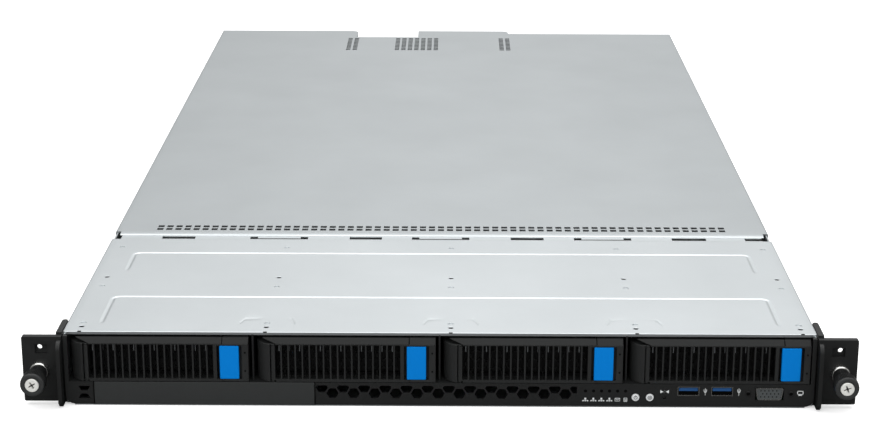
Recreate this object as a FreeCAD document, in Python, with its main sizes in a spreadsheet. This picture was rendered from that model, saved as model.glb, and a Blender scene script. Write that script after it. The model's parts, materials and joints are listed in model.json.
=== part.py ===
"""A one-unit rack server: a long flat steel chassis with four drive trays in front, two supplies behind.

X runs across to the right as seen from the front, Y runs back and Z runs up, all in millimetres.
The origin is on the bottom face, at the middle of the width, in the plane where the rack ears
meet the rack's posts.
"""
import FreeCAD, Part
import math
import os
import Sketcher

V = FreeCAD.Vector

SIZES = {
    # Chassis
    "body_width": 439.0,
    "body_height": 43.85,
    "body_length": 836.0,
    "sheet": 1.0,
    "cover_sheet": 0.8,
    "slip": 0.2,
    "chassis_front": 0.0,
    "face_front": -3.6,
    "floor_lip": 0.7,
    "standoff_radius": 3.0,
    "standoff_height": 5.0,
    # Rack ears and their thumbscrews
    "thumb_offset": 13.05,
    "ear_margin": 10.05,
    "ear_thick": 4.0,
    "ear_bottom": 2.55,
    "ear_drop": 1.35,
    "cheek_thick": 2.3,
    "cheek_back": 22.0,
    "cheek_bottom": 0.3,
    "blade_reach": 10.0,
    "blade_thick": 2.3,
    "blade_nose": 5.0,
    "blade_chin": 3.0,
    "ear_corner": 1.0,
    "blade_drop": 1.9,
    "bar_thick": 3.5,
    "window_wide": 7.4,
    "window_tall": 5.6,
    "window_drop": 10.3,
    "window_inset": 1.3,
    "window_depth": 2.2,
    "ear_hole_radius": 1.5,
    "ear_hole_drop": 7.1,
    "thumb_height": 21.9,
    "thumb_reach": 24.6,
    "ferrule_radius": 5.7,
    "ferrule_long": 4.0,
    "shank_radius": 2.45,
    "thread_radius": 2.95,
    "thread_back": 9.0,
    "running_gap": 0.05,
    "knob_radius": 7.05,
    "knob_long": 9.4,
    "sleeve_radius": 4.9,
    "knob_gap": 0.3,
    "screw_face_radius": 3.95,
    # Front cover and its seam with the sliding cover
    "front_cover_back": 178.0,
    "front_lip": 1.75,
    "seam_back": 187.6,
    "seam_drop": 1.8,
    "seam_tongue": 16.0,
    "tongue_inset": 5.5,
    "seam_notch_wide": 3.9,
    "seam_notch_deep": 5.6,
    "flange_drop": 10.0,
    "flange_front": 24.0,
    "bead_wide": 3.0,
    "bead_depth": 0.4,
    "bead_inset": 20.5,
    "rear_bead": 147.5,
    "rear_bead_leg": 111.0,
    "front_bead": 62.3,
    "front_bead_leg": 14.7,
    "seam_slot_line": 183.5,
    "seam_slot_deep": 5.0,
    "seam_slot_wide": 22.0,
    "seam_slot_slack": 0.74,
    "seam_slot_shift": 13.45,
    "tab_slot_wide": 38.5,
    "tab_slot_shift": 0.4,
    # Sliding cover
    "vent_side": 4.1,
    "vent_pitch": 6.12,
    "vent_inset": 27.2,
    "vent_front": 197.2,
    "rear_vent_front": 761.0,
    "rear_vent_rows": 9,
    "rear_vent_a_shift": 8.0,
    "rear_vent_b_shift": 21.0,
    "rear_vent_b_columns": 7,
    "rear_vent_c_shift": 9.8,
    "hood_back": 847.5,
    "hood_corner": 6.0,
    "notch_wide": 59.0,
    "tab_wide": 88.0,
    "notch_back": 819.0,
    "tab_gap": 2.0,
    # Front panel under the trays
    "panel_top": 14.65,
    "panel_inset": 1.1,
    "panel_thick": 2.0,
    "panel_corner": 5.0,
    "panel_bottom": 0.8,
    "blank_from_end": 16.9,
    "blank_to_mesh": 4.35,
    "blank_proud": 0.5,
    "mesh_from_end": 136.65,
    "mesh_edge": 1.5,
    "hex_pitch": 12.36,
    "hex_web": 0.9,
    "hex_first": -68.65,
    "hex_centre": 7.9,
    "hex_cut": 12.85,
    "mark_from_end": 7.4,
    "mark_wide": 7.0,
    "mark_slant": 1.6,
    "mark_tall": 3.0,
    "mark_gap": 1.8,
    "mark_height": 7.98,
    "panel_post": 2.2,
    # Controls
    "button_radius": 2.3,
    "button_travel": 0.8,
    "button_rim": 0.8,
    "button_proud": 0.3,
    "reset_sunk": 1.0,
    "button_height": 6.18,
    "power_from_end": 103.9,
    "locate_from_end": 95.6,
    "reset_from_end": 87.1,
    "reset_radius": 0.9,
    "usb_from_end": 73.2,
    "usb_pitch": 19.63,
    "usb_wide": 12.7,
    "usb_tall": 5.7,
    "usb_bottom": 7.38,
    "usb_deep": 14.0,
    "usb_wall": 0.4,
    "video_from_end": 25.9,
    "video_wide": 16.3,
    "video_tall": 7.5,
    "video_bottom": 4.89,
    "video_taper": 1.2,
    "video_rim": 0.5,
    "video_mouth": 3.0,
    "video_deep": 12.0,
    "control_board_bottom": 1.8,
    "control_board_front": 4.4,
    "control_board_back": 60.0,
    "board_thick": 1.6,
    # Drive bays
    "bay_count": 4,
    "bay_margin": 3.64,
    "tray_gap": 4.59,
    "tray_bottom": 14.95,
    "tray_drop": 5.53,
    "bezel_deep": 14.0,
    "tray_back": 164.0,
    "tray_wall": 1.3,
    "scoop_wide": 8.0,
    "scoop_deep": 9.0,
    "cage_back": 168.4,
    "lever_thick": 5.0,
    "lever_seam": 15.3,
    "hinge_in": 9.7,
    "hinge_deep": 1.4,
    "hinge_pin_radius": 0.75,
    "hinge_ear": 0.8,
    "grille_left": 10.9,
    "grille_pitch": 4.1,
    "grille_bar": 0.9,
    "grille_end": 2.5,
    "grille_bottom": 16.65,
    "grille_drop": 0.44,
    "latch_left": 16.7,
    "latch_right": 5.5,
    "latch_bottom": 16.65,
    "latch_drop": 1.14,
    "latch_thick": 3.0,
    "latch_gap": 1.7,
    "latch_travel": 1.5,
    "post_wide": 3.8,
    "drive_gap": 2.65,
    "drive_height": 26.1,
    "drive_length": 147.0,
    "drive_bottom": 15.75,
    "drive_front": 11.4,
    "backplane_front": 162.4,
    # Cooling
    "fan_side": 40.0,
    "fan_deep": 28.0,
    "fan_front": 214.0,
    "fan_margin": 25.0,
    "fan_count": 6,
    "fan_bore": 18.7,
    "fan_tip_gap": 0.6,
    "fan_hub": 9.0,
    "fan_shaft": 1.5,
    "blade_count": 5,
    "blade_sheet": 1.0,
    # Main board
    "main_board_gap": 3.5,
    "main_board_to_supply": 5.0,
    "main_board_front": 300.0,
    "sink_deep": 112.0,
    "sink_front": 372.0,
    "sink_left_gap": 40.5,
    "sink_right_gap": 16.0,
    "sink_base": 4.0,
    "sink_tall": 24.0,
    "fin_pitch": 3.6,
    "fin_sheet": 0.8,
    "socket_height": 5.0,
    "module_long": 133.35,
    "module_tall": 31.25,
    "module_pitch": 9.5,
    "module_sheet": 1.4,
    "modules_inset": 18.0,
    "modules_from_right": 58.0,
    "modules_front": 362.0,
    "modules_per_bank": 6,
    "duct_front": 290.0,
    "duct_back": 540.0,
    "duct_wall": 1.2,
    # Rear wall
    "slot_bottom": 22.5,
    "slot_tall": 18.4,
    "full_slot_margin": 11.5,
    "half_slot": 79.2,
    "port_bottom": 7.6,
    "net_wide": 16.4,
    "net_tall": 13.6,
    "net_deep": 21.0,
    # Power supplies
    "supply_gap": 4.25,
    "supply_width": 73.5,
    "supply_tall": 40.0,
    "supply_long": 185.0,
    "supply_wall": 1.0,
    "inlet_wide": 26.0,
    "inlet_tall": 20.0,
    "inlet_left": 3.6,
    "handle_left": 0.2,
    "handle_thick": 2.4,
    "handle_reach": 26.0,
    "supply_latch_left": 32.9,
    "supply_latch_thick": 2.2,
    "supply_latch_travel": 2.4,
    # Rail studs
    "stud_head": 3.8,
    "stud_neck": 2.4,
    "stud_out": 2.8,
    "stud_height": 21.9,
    "stud_first": 90.0,
    "stud_pitch": 300.0,
    "stud_count": 3,
}

doc = FreeCAD.newDocument("rack_server")
sheet = doc.addObject("Spreadsheet::Sheet", "sizes")
for line, (alias, number) in enumerate(SIZES.items(), start=1):
    sheet.set(f"A{line}", alias)
    sheet.set(f"B{line}", str(number))
    sheet.setAlias(f"B{line}", alias)
doc.recompute()


class Size:
    """A length held two ways: as an expression on the sheet, and as the number it has now."""

    def __init__(self, text, value):
        self.text = text
        self.value = value

    @staticmethod
    def of(other):
        return other if isinstance(other, Size) else Size(f"({float(other)})", float(other))

    def __add__(self, other):
        other = Size.of(other)
        return Size(f"({self.text} + {other.text})", self.value + other.value)

    def __sub__(self, other):
        other = Size.of(other)
        return Size(f"({self.text} - {other.text})", self.value - other.value)

    def __mul__(self, other):
        other = Size.of(other)
        return Size(f"({self.text} * {other.text})", self.value * other.value)

    def __truediv__(self, other):
        other = Size.of(other)
        return Size(f"({self.text} / {other.text})", self.value / other.value)

    def __rsub__(self, other):
        return Size.of(other) - self

    def __neg__(self):
        return self * -1

    __radd__ = __add__
    __rmul__ = __mul__


class Sheet:
    """The driving sizes, read by name."""

    def __getattr__(self, alias):
        return Size(f"sizes.{alias}", float(SIZES[alias]))


size = Sheet()
pieces = []

AXES = ("x", "y", "z")
TURN_TO_AXIS = {
    "x": FreeCAD.Rotation(V(0, 1, 0), 90),
    "y": FreeCAD.Rotation(V(1, 0, 0), -90),
    "z": FreeCAD.Rotation(),
}


def bind(thing, place, length):
    """Tie one property of an object to the sheet."""
    thing.setExpression(place, Size.of(length).text)


def block(name, x, y, z):
    """A box between two limits along each axis."""
    box = doc.addObject("Part::Box", name)
    for side, axis, (low, high) in zip(("Length", "Width", "Height"), AXES, (x, y, z)):
        bind(box, side, Size.of(high) - low)
        bind(box, f"Placement.Base.{axis}", low)
    return box


def rod(name, axis, centre, span, radius):
    """A cylinder along one axis. The centre gives its other two coordinates, in X, Y, Z order."""
    cylinder = doc.addObject("Part::Cylinder", name)
    cylinder.Placement = FreeCAD.Placement(V(), TURN_TO_AXIS[axis])
    low, high = span
    bind(cylinder, "Radius", radius)
    bind(cylinder, "Height", Size.of(high) - low)
    places = dict(zip([a for a in AXES if a != axis], centre))
    places[axis] = low
    for letter in AXES:
        bind(cylinder, f"Placement.Base.{letter}", places[letter])
    return cylinder


def post(name, centre, span, radius):
    """An upright six-sided post."""
    prism = doc.addObject("Part::Prism", name)
    prism.Polygon = 6
    bind(prism, "Circumradius", radius)
    bind(prism, "Height", Size.of(span[1]) - span[0])
    for axis, where in zip(AXES, (*centre, span[0])):
        bind(prism, f"Placement.Base.{axis}", where)
    return prism


def polygon(radius, sides):
    """The corners of a regular polygon round the origin."""
    return [(radius * math.cos(math.tau * i / sides), radius * math.sin(math.tau * i / sides))
            for i in range(sides)]


def join(name, *shapes):
    """One solid made of several that meet."""
    fused = doc.addObject("Part::MultiFuse", name)
    fused.Shapes = list(shapes)
    fused.Refine = True
    return fused


def group(name, *shapes):
    """Several separate solids under one name."""
    compound = doc.addObject("Part::Compound", name)
    compound.Links = list(shapes)
    return compound


def cut(name, base, *tools):
    """A solid with others taken out of it."""
    result = doc.addObject("Part::Cut", name)
    result.Base = base
    result.Tool = tools[0] if len(tools) == 1 else join(f"{name}_tools", *tools)
    result.Refine = True
    return result


def mirror(name, source):
    """The same piece on the other side of the middle plane."""
    copy = doc.addObject("Part::Mirroring", name)
    copy.Source = source
    copy.Normal = V(1, 0, 0)
    return copy


def place(thing, **shifts):
    """Move a finished piece along the named axes."""
    for axis, shift in shifts.items():
        bind(thing, f"Placement.Base.{axis}", shift)
    return thing


def piece(thing, name):
    """Register a finished sub-part under the name of its file."""
    thing.Label = name
    pieces.append(thing)
    return thing


def outline(sketch, points):
    """Draw a closed outline whose corners are tied to the sheet.

    A corner is (across, up) or (across, up, radius): the radius bends the edge that leaves the
    corner, positive to bend left on the way round and negative to bend right.
    """
    first = sketch.GeometryCount
    corners = [tuple(Size.of(part) for part in point) for point in points]
    ends = []
    for i, corner in enumerate(corners):
        a = V(corner[0].value, corner[1].value, 0)
        following = corners[(i + 1) % len(corners)]
        b = V(following[0].value, following[1].value, 0)
        if len(corner) == 2:
            sketch.addGeometry(Part.LineSegment(a, b), False)
            ends.append((1, 2))
            continue
        radius = corner[2].value
        chord = b - a
        left = V(-chord.y, chord.x, 0).normalize()
        rise = math.sqrt(max(radius ** 2 - chord.Length ** 2 / 4, 0))
        centre = (a + b) / 2 + left * math.copysign(rise, radius)
        start, stop = (a, b) if radius > 0 else (b, a)
        angles = [math.atan2(p.y - centre.y, p.x - centre.x) for p in (start, stop)]
        circle = Part.Circle(centre, V(0, 0, 1), abs(radius))
        sketch.addGeometry(Part.ArcOfCircle(circle, *angles), False)
        ends.append((1, 2) if radius > 0 else (2, 1))
    for i, corner in enumerate(corners):
        after = (i + 1) % len(corners)
        joint = Sketcher.Constraint("Coincident", first + i, ends[i][1], first + after, ends[after][0])
        sketch.addConstraint(joint)
        for kind, length in zip(("DistanceX", "DistanceY"), corner):
            rule = Sketcher.Constraint(kind, -1, 1, first + i, ends[i][0], length.value)
            bind(sketch, f"Constraints[{sketch.addConstraint(rule)}]", length)
        if len(corner) == 3:
            bend = corner[2] if corner[2].value > 0 else -corner[2]
            rule = Sketcher.Constraint("Radius", first + i, bend.value)
            bind(sketch, f"Constraints[{sketch.addConstraint(rule)}]", bend)


def ring(sketch, across, up, radius):
    """Draw a circle tied to the sheet."""
    across, up, radius = (Size.of(part) for part in (across, up, radius))
    circle = Part.Circle(V(across.value, up.value, 0), V(0, 0, 1), radius.value)
    index = sketch.addGeometry(circle, False)
    rules = (("DistanceX", (-1, 1, index, 3), across), ("DistanceY", (-1, 1, index, 3), up),
             ("Radius", (index,), radius))
    for kind, targets, length in rules:
        rule = Sketcher.Constraint(kind, *targets, length.value)
        bind(sketch, f"Constraints[{sketch.addConstraint(rule)}]", length)


class Plate:
    """A body padded from a sketch along one axis, with pockets that go right through it."""

    PLANES = {"x": "YZ_Plane", "y": "XZ_Plane", "z": "XY_Plane"}

    def __init__(self, name, axis, span, points):
        self.name, self.axis, self.span = name, axis, span
        self.body = doc.addObject("PartDesign::Body", name)
        self.cuts = 0
        self.pad = self.body.newObject("PartDesign::Pad", f"{name}_pad")
        self.pad.Profile = self.sketch(f"{name}_outline", points)
        self.pad.Reversed = axis == "y"
        bind(self.pad, "Length", Size.of(span[1]) - span[0])

    def sketch(self, name, points, drawn=outline):
        """A sketch on the low side of the plate."""
        sketch = self.body.newObject("Sketcher::SketchObject", name)
        planes = self.body.Origin.OriginFeatures
        plane = next(item for item in planes if item.Role == self.PLANES[self.axis])
        sketch.AttachmentSupport = [(plane, "")]
        sketch.MapMode = "FlatFace"
        low = Size.of(self.span[0])
        bind(sketch, "AttachmentOffset.Base.z", -low if self.axis == "y" else low)
        drawn(sketch, points) if drawn is outline else drawn(sketch, *points)
        return sketch

    def pocket(self, points, drawn=outline, depth=None, repeats=()):
        """Cut an outline out, right through or to a depth, and repeat it in rows if asked."""
        self.cuts += 1
        name = f"{self.name}_cut_{self.cuts}"
        sketch = self.sketch(f"{name}_outline", points, drawn)
        pocket = self.body.newObject("PartDesign::Pocket", name)
        pocket.Profile = sketch
        pocket.Reversed = self.axis != "y"
        if depth is None:
            pocket.Type = "ThroughAll"
        else:
            bind(pocket, "Length", depth)
        self.body.Tip = pocket
        if repeats:
            rows = self.body.newObject("PartDesign::LinearPattern", f"{name}_rows")
            rows.Originals = [pocket]
            for suffix, (line, pitch, count) in zip(("", "2"), repeats):
                setattr(rows, f"Direction{suffix}", (sketch, [line]))
                setattr(rows, f"Mode{suffix}", "Spacing")
                bind(rows, f"Offset{suffix}", pitch)
                bind(rows, f"Occurrences{suffix}", count)
            self.body.Tip = rows
        return self


def rectangle(low_across, high_across, low_up, high_up):
    """The four corners of a rectangle."""
    return [(low_across, low_up), (high_across, low_up), (high_across, high_up), (low_across, high_up)]


# Places that several pieces share
half = size.body_width / 2
cover_under = size.body_height - size.cover_sheet
side_out = half - size.cover_sheet - size.slip
side_in = side_out - size.sheet
side_top = cover_under - size.slip
front_half = half - size.panel_inset
cheek_out = half + size.cheek_thick
ear_top = size.body_height - size.ear_drop
tongue_half = half - size.tongue_inset
tray_pitch = (size.body_width - size.bay_margin) / size.bay_count
tray_width = tray_pitch - size.tray_gap
tray_top = size.body_height - size.tray_drop
grille_top = tray_top - size.grille_drop
latch_top = tray_top - size.latch_drop
drive_width = tray_width - size.drive_gap
mesh_right = front_half - size.mesh_from_end
power_across = front_half - size.power_from_end
locate_across = front_half - size.locate_from_end
reset_across = front_half - size.reset_from_end
usb_first = front_half - size.usb_from_end
video_across = front_half - size.video_from_end
supply_left = side_in + size.sheet - (size.supply_width + size.supply_gap) * 2
tab_right = supply_left - size.tab_gap
notch_right = tab_right - size.tab_wide
notch_left = notch_right - size.notch_wide
main_board_left = -side_in + size.main_board_gap
main_board_right = supply_left - size.main_board_to_supply
modules_left = main_board_left + size.modules_inset
modules_right = main_board_right - size.modules_from_right
shelf_top = size.panel_top
shelf_under = shelf_top - size.sheet
rear_inside = size.body_length - size.sheet
thumb_across = half + size.thumb_offset
thumb_front = -size.ear_thick - size.thumb_reach
panel_back = size.face_front + size.panel_thick
knob_back = thumb_front + size.knob_long
ferrule_front = -size.ear_thick - size.ferrule_long
board_bottom = size.sheet + size.standoff_height
board_top = board_bottom + size.board_thick
flange_bottom = cover_under - size.flange_drop
control_board_top = size.control_board_bottom + size.board_thick


def chassis_base():
    """The folded steel tray that everything stands in, with the board's standoffs pressed in."""
    section = [(-side_out, 0), (side_out, 0), (side_out, side_top), (side_in, side_top),
               (side_in, size.sheet), (-side_in, size.sheet), (-side_in, side_top), (-side_out, side_top)]
    tray = Plate("chassis_tray", "y", (size.chassis_front, size.body_length), section)
    standoffs = []
    for across in (main_board_left + 8, (main_board_left + main_board_right) / 2,
                   main_board_right - 8):
        for back in (size.main_board_front + 10, size.main_board_front + 255, size.notch_back - 20):
            name = f"standoff_{len(standoffs) + 1}"
            standoffs.append(post(name, (across, back), (0, board_bottom), size.standoff_radius))
    width = front_half - size.panel_corner
    lip = block("floor_lip", (-width, width), (size.face_front + size.slip, size.chassis_front + 1),
                (0, size.floor_lip))
    return piece(join("chassis_base", tray.body, lip, *standoffs), "chassis_base")


def how_many(room, pitch):
    """How many copies at a pitch the room holds."""
    return int(room.value / pitch.value)


def cover_flanges(name, front, back):
    """The two sides of a cover that lap down over the chassis."""
    right = block(f"{name}_right", (half - size.cover_sheet, half), (front, back),
                  (flange_bottom, cover_under))
    left = block(f"{name}_left", (-half, size.cover_sheet - half), (front, back),
                 (flange_bottom, cover_under))
    return [right, left]


def front_cover():
    """The fixed cover over the drives: a front lip, two pressed beads and a dropped seam behind."""
    plate = Plate("front_plate", "z", (cover_under, size.body_height),
                  rectangle(-half, half, 0, size.front_cover_back))
    beads = []
    low, high = size.body_height - size.bead_depth, size.body_height + 1
    for line, leg in ((size.rear_bead, size.rear_bead_leg), (size.front_bead, size.front_bead_leg)):
        number = len(beads)
        across, wide = half - size.bead_inset, size.bead_wide / 2
        beads.append(block(f"bead_{number}", (-across - wide, across + wide),
                           (line - wide, line + wide), (low, high)))
        for side in (-across, across):
            beads.append(block(f"bead_{len(beads)}", (side - wide, side + wide),
                               (leg, line), (low, high)))
    top = cut("front_plate_beaded", plate.body, *beads)
    lip = block("front_lip", (size.slip - side_in, side_in - size.slip), (0, size.cover_sheet),
                (size.body_height - size.front_lip, cover_under))
    seam_under = size.body_height - size.seam_drop
    riser = block("seam_riser", (-tongue_half, tongue_half),
                  (size.front_cover_back - size.cover_sheet, size.front_cover_back),
                  (seam_under, cover_under))
    tongue = Plate("seam_tongue", "z", (seam_under, seam_under + size.cover_sheet),
                   rectangle(-tongue_half, tongue_half,
                             size.front_cover_back, size.front_cover_back + size.seam_tongue))
    near = size.seam_slot_line - size.seam_slot_deep / 2
    far = size.seam_slot_line + size.seam_slot_deep / 2
    pitch = tray_pitch - size.seam_slot_slack
    for first, wide, count in ((pitch * -1.5 - size.seam_slot_shift, size.seam_slot_wide, size.bay_count),
                               (-pitch - size.tab_slot_shift, size.tab_slot_wide, size.bay_count - 1)):
        tongue.pocket(rectangle(first - wide / 2, first + wide / 2, near, far), repeats=[("H_Axis", pitch, count)])
    sides = cover_flanges("front_flange", size.flange_front, size.front_cover_back)
    return piece(join("front_cover", top, lip, riser, tongue.body, *sides), "front_cover")


def top_cover():
    """The long cover that slides back to unlock, with its vents and its stepped rear edge."""
    corner = size.hood_corner
    hood = size.hood_back
    edge = size.body_length
    ends, behind_notch = half - size.seam_notch_wide, size.seam_back + size.seam_notch_deep
    points = [(-ends, size.seam_back), (ends, size.seam_back), (ends, behind_notch), (half, behind_notch),
              (half, edge), (tab_right, edge),
              (tab_right, hood - corner, corner), (tab_right - corner, hood),
              (notch_right, hood), (notch_right, size.notch_back),
              (notch_left, size.notch_back), (notch_left, hood - corner, corner),
              (notch_left - corner, hood), (-half, hood), (-half, behind_notch), (-ends, behind_notch)]
    plate = Plate("cover_plate", "z", (cover_under, size.body_height), points)

    squares = []
    columns = how_many(size.body_width - size.vent_inset * 2 + size.vent_pitch - size.vent_side, size.vent_pitch)
    rear, rear_rows = size.rear_vent_front, SIZES["rear_vent_rows"]
    for across, back, columns, rows in (
            (size.vent_inset - half, size.vent_front, columns, 2),
            (notch_left - size.rear_vent_a_shift, rear, 2, rear_rows),
            (notch_right - size.rear_vent_b_shift, rear, SIZES["rear_vent_b_columns"], rear_rows),
            (tab_right - size.rear_vent_c_shift, rear, 2, rear_rows)):
        for column in range(columns):
            for row in range(rows):
                left, front = across + size.vent_pitch * column, back + size.vent_pitch * row
                squares.append(block(f"vent_{len(squares) + 1}", (left, left + size.vent_side),
                                     (front, front + size.vent_side), (cover_under - 1, size.body_height + 1)))
    vented = cut("cover_vented", plate.body, group("cover_vents", *squares))
    sides = cover_flanges("cover_flange", behind_notch, size.body_length)
    return piece(join("top_cover", vented, *sides), "top_cover")


def front_panel():
    """The strip under the trays: a honeycomb in the middle and the controls on the right."""
    corner, outer, low = size.panel_corner, front_half, size.panel_bottom
    points = [(corner - outer, low), (outer - corner, low, corner), (outer, low + corner),
              (outer, size.panel_top), (-outer, size.panel_top), (-outer, low + corner, corner)]
    panel = Plate("front_panel_plate", "y", (size.face_front, panel_back), points)

    side = size.hex_pitch / 3 - size.hex_web / math.sqrt(3)
    flat = side * math.sqrt(0.75)
    first, middle = size.hex_first + size.hex_pitch / 2, size.hex_centre
    mesh_end = mesh_right - size.mesh_edge
    count = how_many(mesh_end - size.hex_first, size.hex_pitch)
    panel.pocket([(first - side / 2, middle - flat), (first + side / 2, middle - flat), (first + side, middle),
                  (first + side / 2, middle + flat), (first - side / 2, middle + flat), (first - side, middle)],
                 repeats=[("H_Axis", size.hex_pitch, count)])
    first, middle = size.hex_first, size.hex_centre + size.hex_pitch / 3 * math.sqrt(0.75)
    narrow = side - (size.hex_cut - middle) / math.sqrt(3)
    panel.pocket([(first - side / 2, middle - flat), (first + side / 2, middle - flat), (first + side, middle),
                  (first + narrow, size.hex_cut), (first - narrow, size.hex_cut), (first - side, middle)],
                 repeats=[("H_Axis", size.hex_pitch, count)])
    last = size.hex_first + size.hex_pitch * count
    panel.pocket([(last - side / 2, middle - flat), (mesh_end, middle - flat),
                  (mesh_end, size.hex_cut), (last - narrow, size.hex_cut), (last - side, middle)])
    for across in (power_across, locate_across):
        panel.pocket((across, size.button_height, size.button_radius + size.slip), ring)
    panel.pocket((reset_across, size.button_height, size.reset_radius + size.slip), ring)
    reach = size.usb_wide / 2 + size.slip
    panel.pocket(rectangle(usb_first - reach, usb_first + reach, size.usb_bottom - size.slip,
                           size.usb_bottom + size.usb_tall + size.slip),
                 repeats=[("H_Axis", size.usb_pitch, 2)])
    reach = size.video_wide / 2 + size.slip
    panel.pocket(rectangle(video_across - reach, video_across + reach,
                           size.video_bottom - size.slip, size.video_bottom + size.video_tall + size.slip))
    left, right = size.mark_from_end - outer, size.mark_from_end + size.mark_wide - outer
    slant, tall, gap = size.mark_slant, size.mark_tall, size.mark_gap / 2
    for up, away in ((size.mark_height + gap, tall), (size.mark_height - gap, -tall)):
        panel.pocket([(left, up + away), (left + slant, up), (right - slant, up), (right, up + away)])
    posts = [block(f"panel_post_{number}", span, (size.face_front, panel_back), (size.panel_top, side_top))
             for number, span in ((1, (-outer, size.panel_post - outer)), (2, (outer - size.panel_post, outer)))]
    return piece(group("front_panel", panel.body, *posts), "front_panel")


def blanking_cover():
    """The plain cover over the bay that stays empty."""
    plate = block("blanking_cover", (size.blank_from_end - front_half, size.hex_first - size.blank_to_mesh),
                  (size.face_front - size.blank_proud, size.face_front), (size.panel_bottom, size.panel_top))
    return piece(plate, "blanking_cover")


def drive_cage():
    """The shelf and dividers that the four trays slide between."""
    front = size.chassis_front
    parts = [block("cage_shelf", (-side_in, side_in), (panel_back, size.cage_back), (shelf_under, shelf_top))]
    for number in (-1, 0, 1):
        middle = tray_pitch * number
        parts.append(block(f"cage_divider_{number + 2}", (middle - size.sheet / 2, middle + size.sheet / 2),
                           (front + 1, size.backplane_front - 6), (shelf_top, side_top - 0.4)))
    for number, (low, high) in enumerate(((-side_in, size.sheet - side_in), (side_in - size.sheet, side_in))):
        parts.append(block(f"cage_foot_{number + 1}", (low, high), (front, size.cage_back),
                           (size.sheet, shelf_under)))
    return piece(group("drive_cage", *parts), "drive_cage")


def rack_ears():
    """The two black ears: a flange for the rack's post and a cheek along the chassis."""
    outer, inner = thumb_across + size.ear_margin, cheek_out
    corner = size.ear_corner
    points = [(inner - size.blade_thick, size.ear_bottom), (outer - corner, size.ear_bottom, corner),
              (outer, size.ear_bottom + corner), (outer, ear_top - corner, corner),
              (outer - corner, ear_top), (inner - size.blade_thick, ear_top)]
    flange = Plate("ear_flange", "y", (-size.ear_thick, 0), points)
    flange.pocket((thumb_across, size.thumb_height, size.ferrule_radius - 1), ring)
    flange.pocket((thumb_across, ear_top - size.ear_hole_drop, size.ear_hole_radius), ring)
    window_middle, window_bottom = thumb_across - size.window_inset, ear_top - size.window_drop
    flange.pocket(rectangle(window_middle - size.window_wide / 2, window_middle + size.window_wide / 2,
                            window_bottom, window_bottom + size.window_tall),
                  depth=size.window_depth)
    nose, blade_top = size.blade_nose, ear_top - size.blade_drop
    chin = size.blade_chin
    profile = [(0, size.cheek_bottom), (0, blade_top), (nose - size.blade_reach, blade_top, nose),
               (-size.blade_reach, blade_top - nose), (-size.blade_reach, size.cheek_bottom + chin),
               (chin - size.blade_reach, size.cheek_bottom)]
    blade = Plate("ear_blade", "x", (inner - size.blade_thick, inner), profile)
    cheek = block("ear_cheek", (side_out, inner), (0, size.cheek_back), (size.cheek_bottom, side_top))
    bar_in, bar_out, bar_end = half + size.slip, half + size.bar_thick, (size.bar_thick - size.slip) / 2
    bar = block("ear_bar", (bar_in, bar_out), (0, size.cheek_back - bar_end),
                (size.cheek_bottom, size.body_height))
    round_end = rod("ear_bar_end", "z", (bar_in + bar_end, size.cheek_back - bar_end),
                    (size.cheek_bottom, size.body_height), bar_end)
    right = join("right_ear", flange.body, blade.body, cheek, bar, round_end)
    return piece(group("rack_ears", right, mirror("left_ear", right)), "rack_ears")


def thumbscrew_ferrules():
    """The plated ferrules pressed into the ears, which the captive screws turn in."""
    centre = (thumb_across, size.thumb_height)
    collar = rod("ferrule_collar", "y", centre, (ferrule_front, -size.ear_thick), size.ferrule_radius)
    neck = rod("ferrule_neck", "y", centre, (-size.ear_thick, 0), size.ferrule_radius - 1)
    bore = rod("ferrule_bore", "y", centre, (ferrule_front - 1, 1), size.shank_radius + size.running_gap)
    right = cut("ferrule_right", join("ferrule_solid", collar, neck), bore)
    return piece(group("thumbscrew_ferrules", right, mirror("ferrule_left", right)), "thumbscrew_ferrules")


def thumbscrew(side, sign):
    """A captive screw and its knob: a long head, a relieved shank in the ferrule and a threaded end."""
    centre = (thumb_across * sign, size.thumb_height)
    head_back = ferrule_front - size.knob_gap
    head = rod(f"{side}_head", "y", centre, (thumb_front, head_back), size.screw_face_radius)
    shank = rod(f"{side}_shank", "y", centre, (head_back, size.slip), size.shank_radius)
    thread = rod(f"{side}_thread", "y", centre, (size.slip, size.thread_back), size.thread_radius)
    piece(join(f"{side}_screw", head, shank, thread), f"{side}_screw")
    grip = rod(f"{side}_grip", "y", centre, (thumb_front + size.knob_gap, knob_back), size.knob_radius)
    sleeve = rod(f"{side}_sleeve", "y", centre, (knob_back, head_back), size.sleeve_radius)
    bore = rod(f"{side}_knob_bore", "y", centre, (thumb_front - 1, head_back + 1), size.screw_face_radius)
    return piece(cut(f"{side}_knob", join(f"{side}_knob_solid", grip, sleeve), bore), f"{side}_knob")


def button(name, across, radius, front):
    """A push button: a cap, and a wider foot behind the panel that keeps it in and meets the switch."""
    back = panel_back + size.slip
    foot_end = size.control_board_front - size.button_travel
    cap = rod(f"{name}_cap", "y", (across, size.button_height), (front, back), radius)
    foot = rod(f"{name}_foot", "y", (across, size.button_height), (back, foot_end), radius + size.button_rim)
    return piece(join(name, cap, foot), name)


def control_board():
    """The board behind the controls, with the three switches that the buttons press."""
    board = block("control_board_plate", (mesh_right, front_half - 6),
                  (size.control_board_front, size.control_board_back),
                  (size.control_board_bottom, control_board_top))
    switches = []
    front = size.control_board_front + size.slip
    for number, across in enumerate((power_across, locate_across, reset_across)):
        switches.append(block(f"switch_{number + 1}", (across - 3, across + 3), (front, front + 4),
                              (control_board_top, size.button_height + 3)))
    spacers = [block(f"board_spacer_{i + 1}", (across - 3, across + 3), (20, 26),
                     (size.sheet, size.control_board_bottom))
               for i, across in enumerate((mesh_right + 8, front_half - 14))]
    return piece(group("control_board", board, *switches, *spacers), "control_board")


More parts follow.
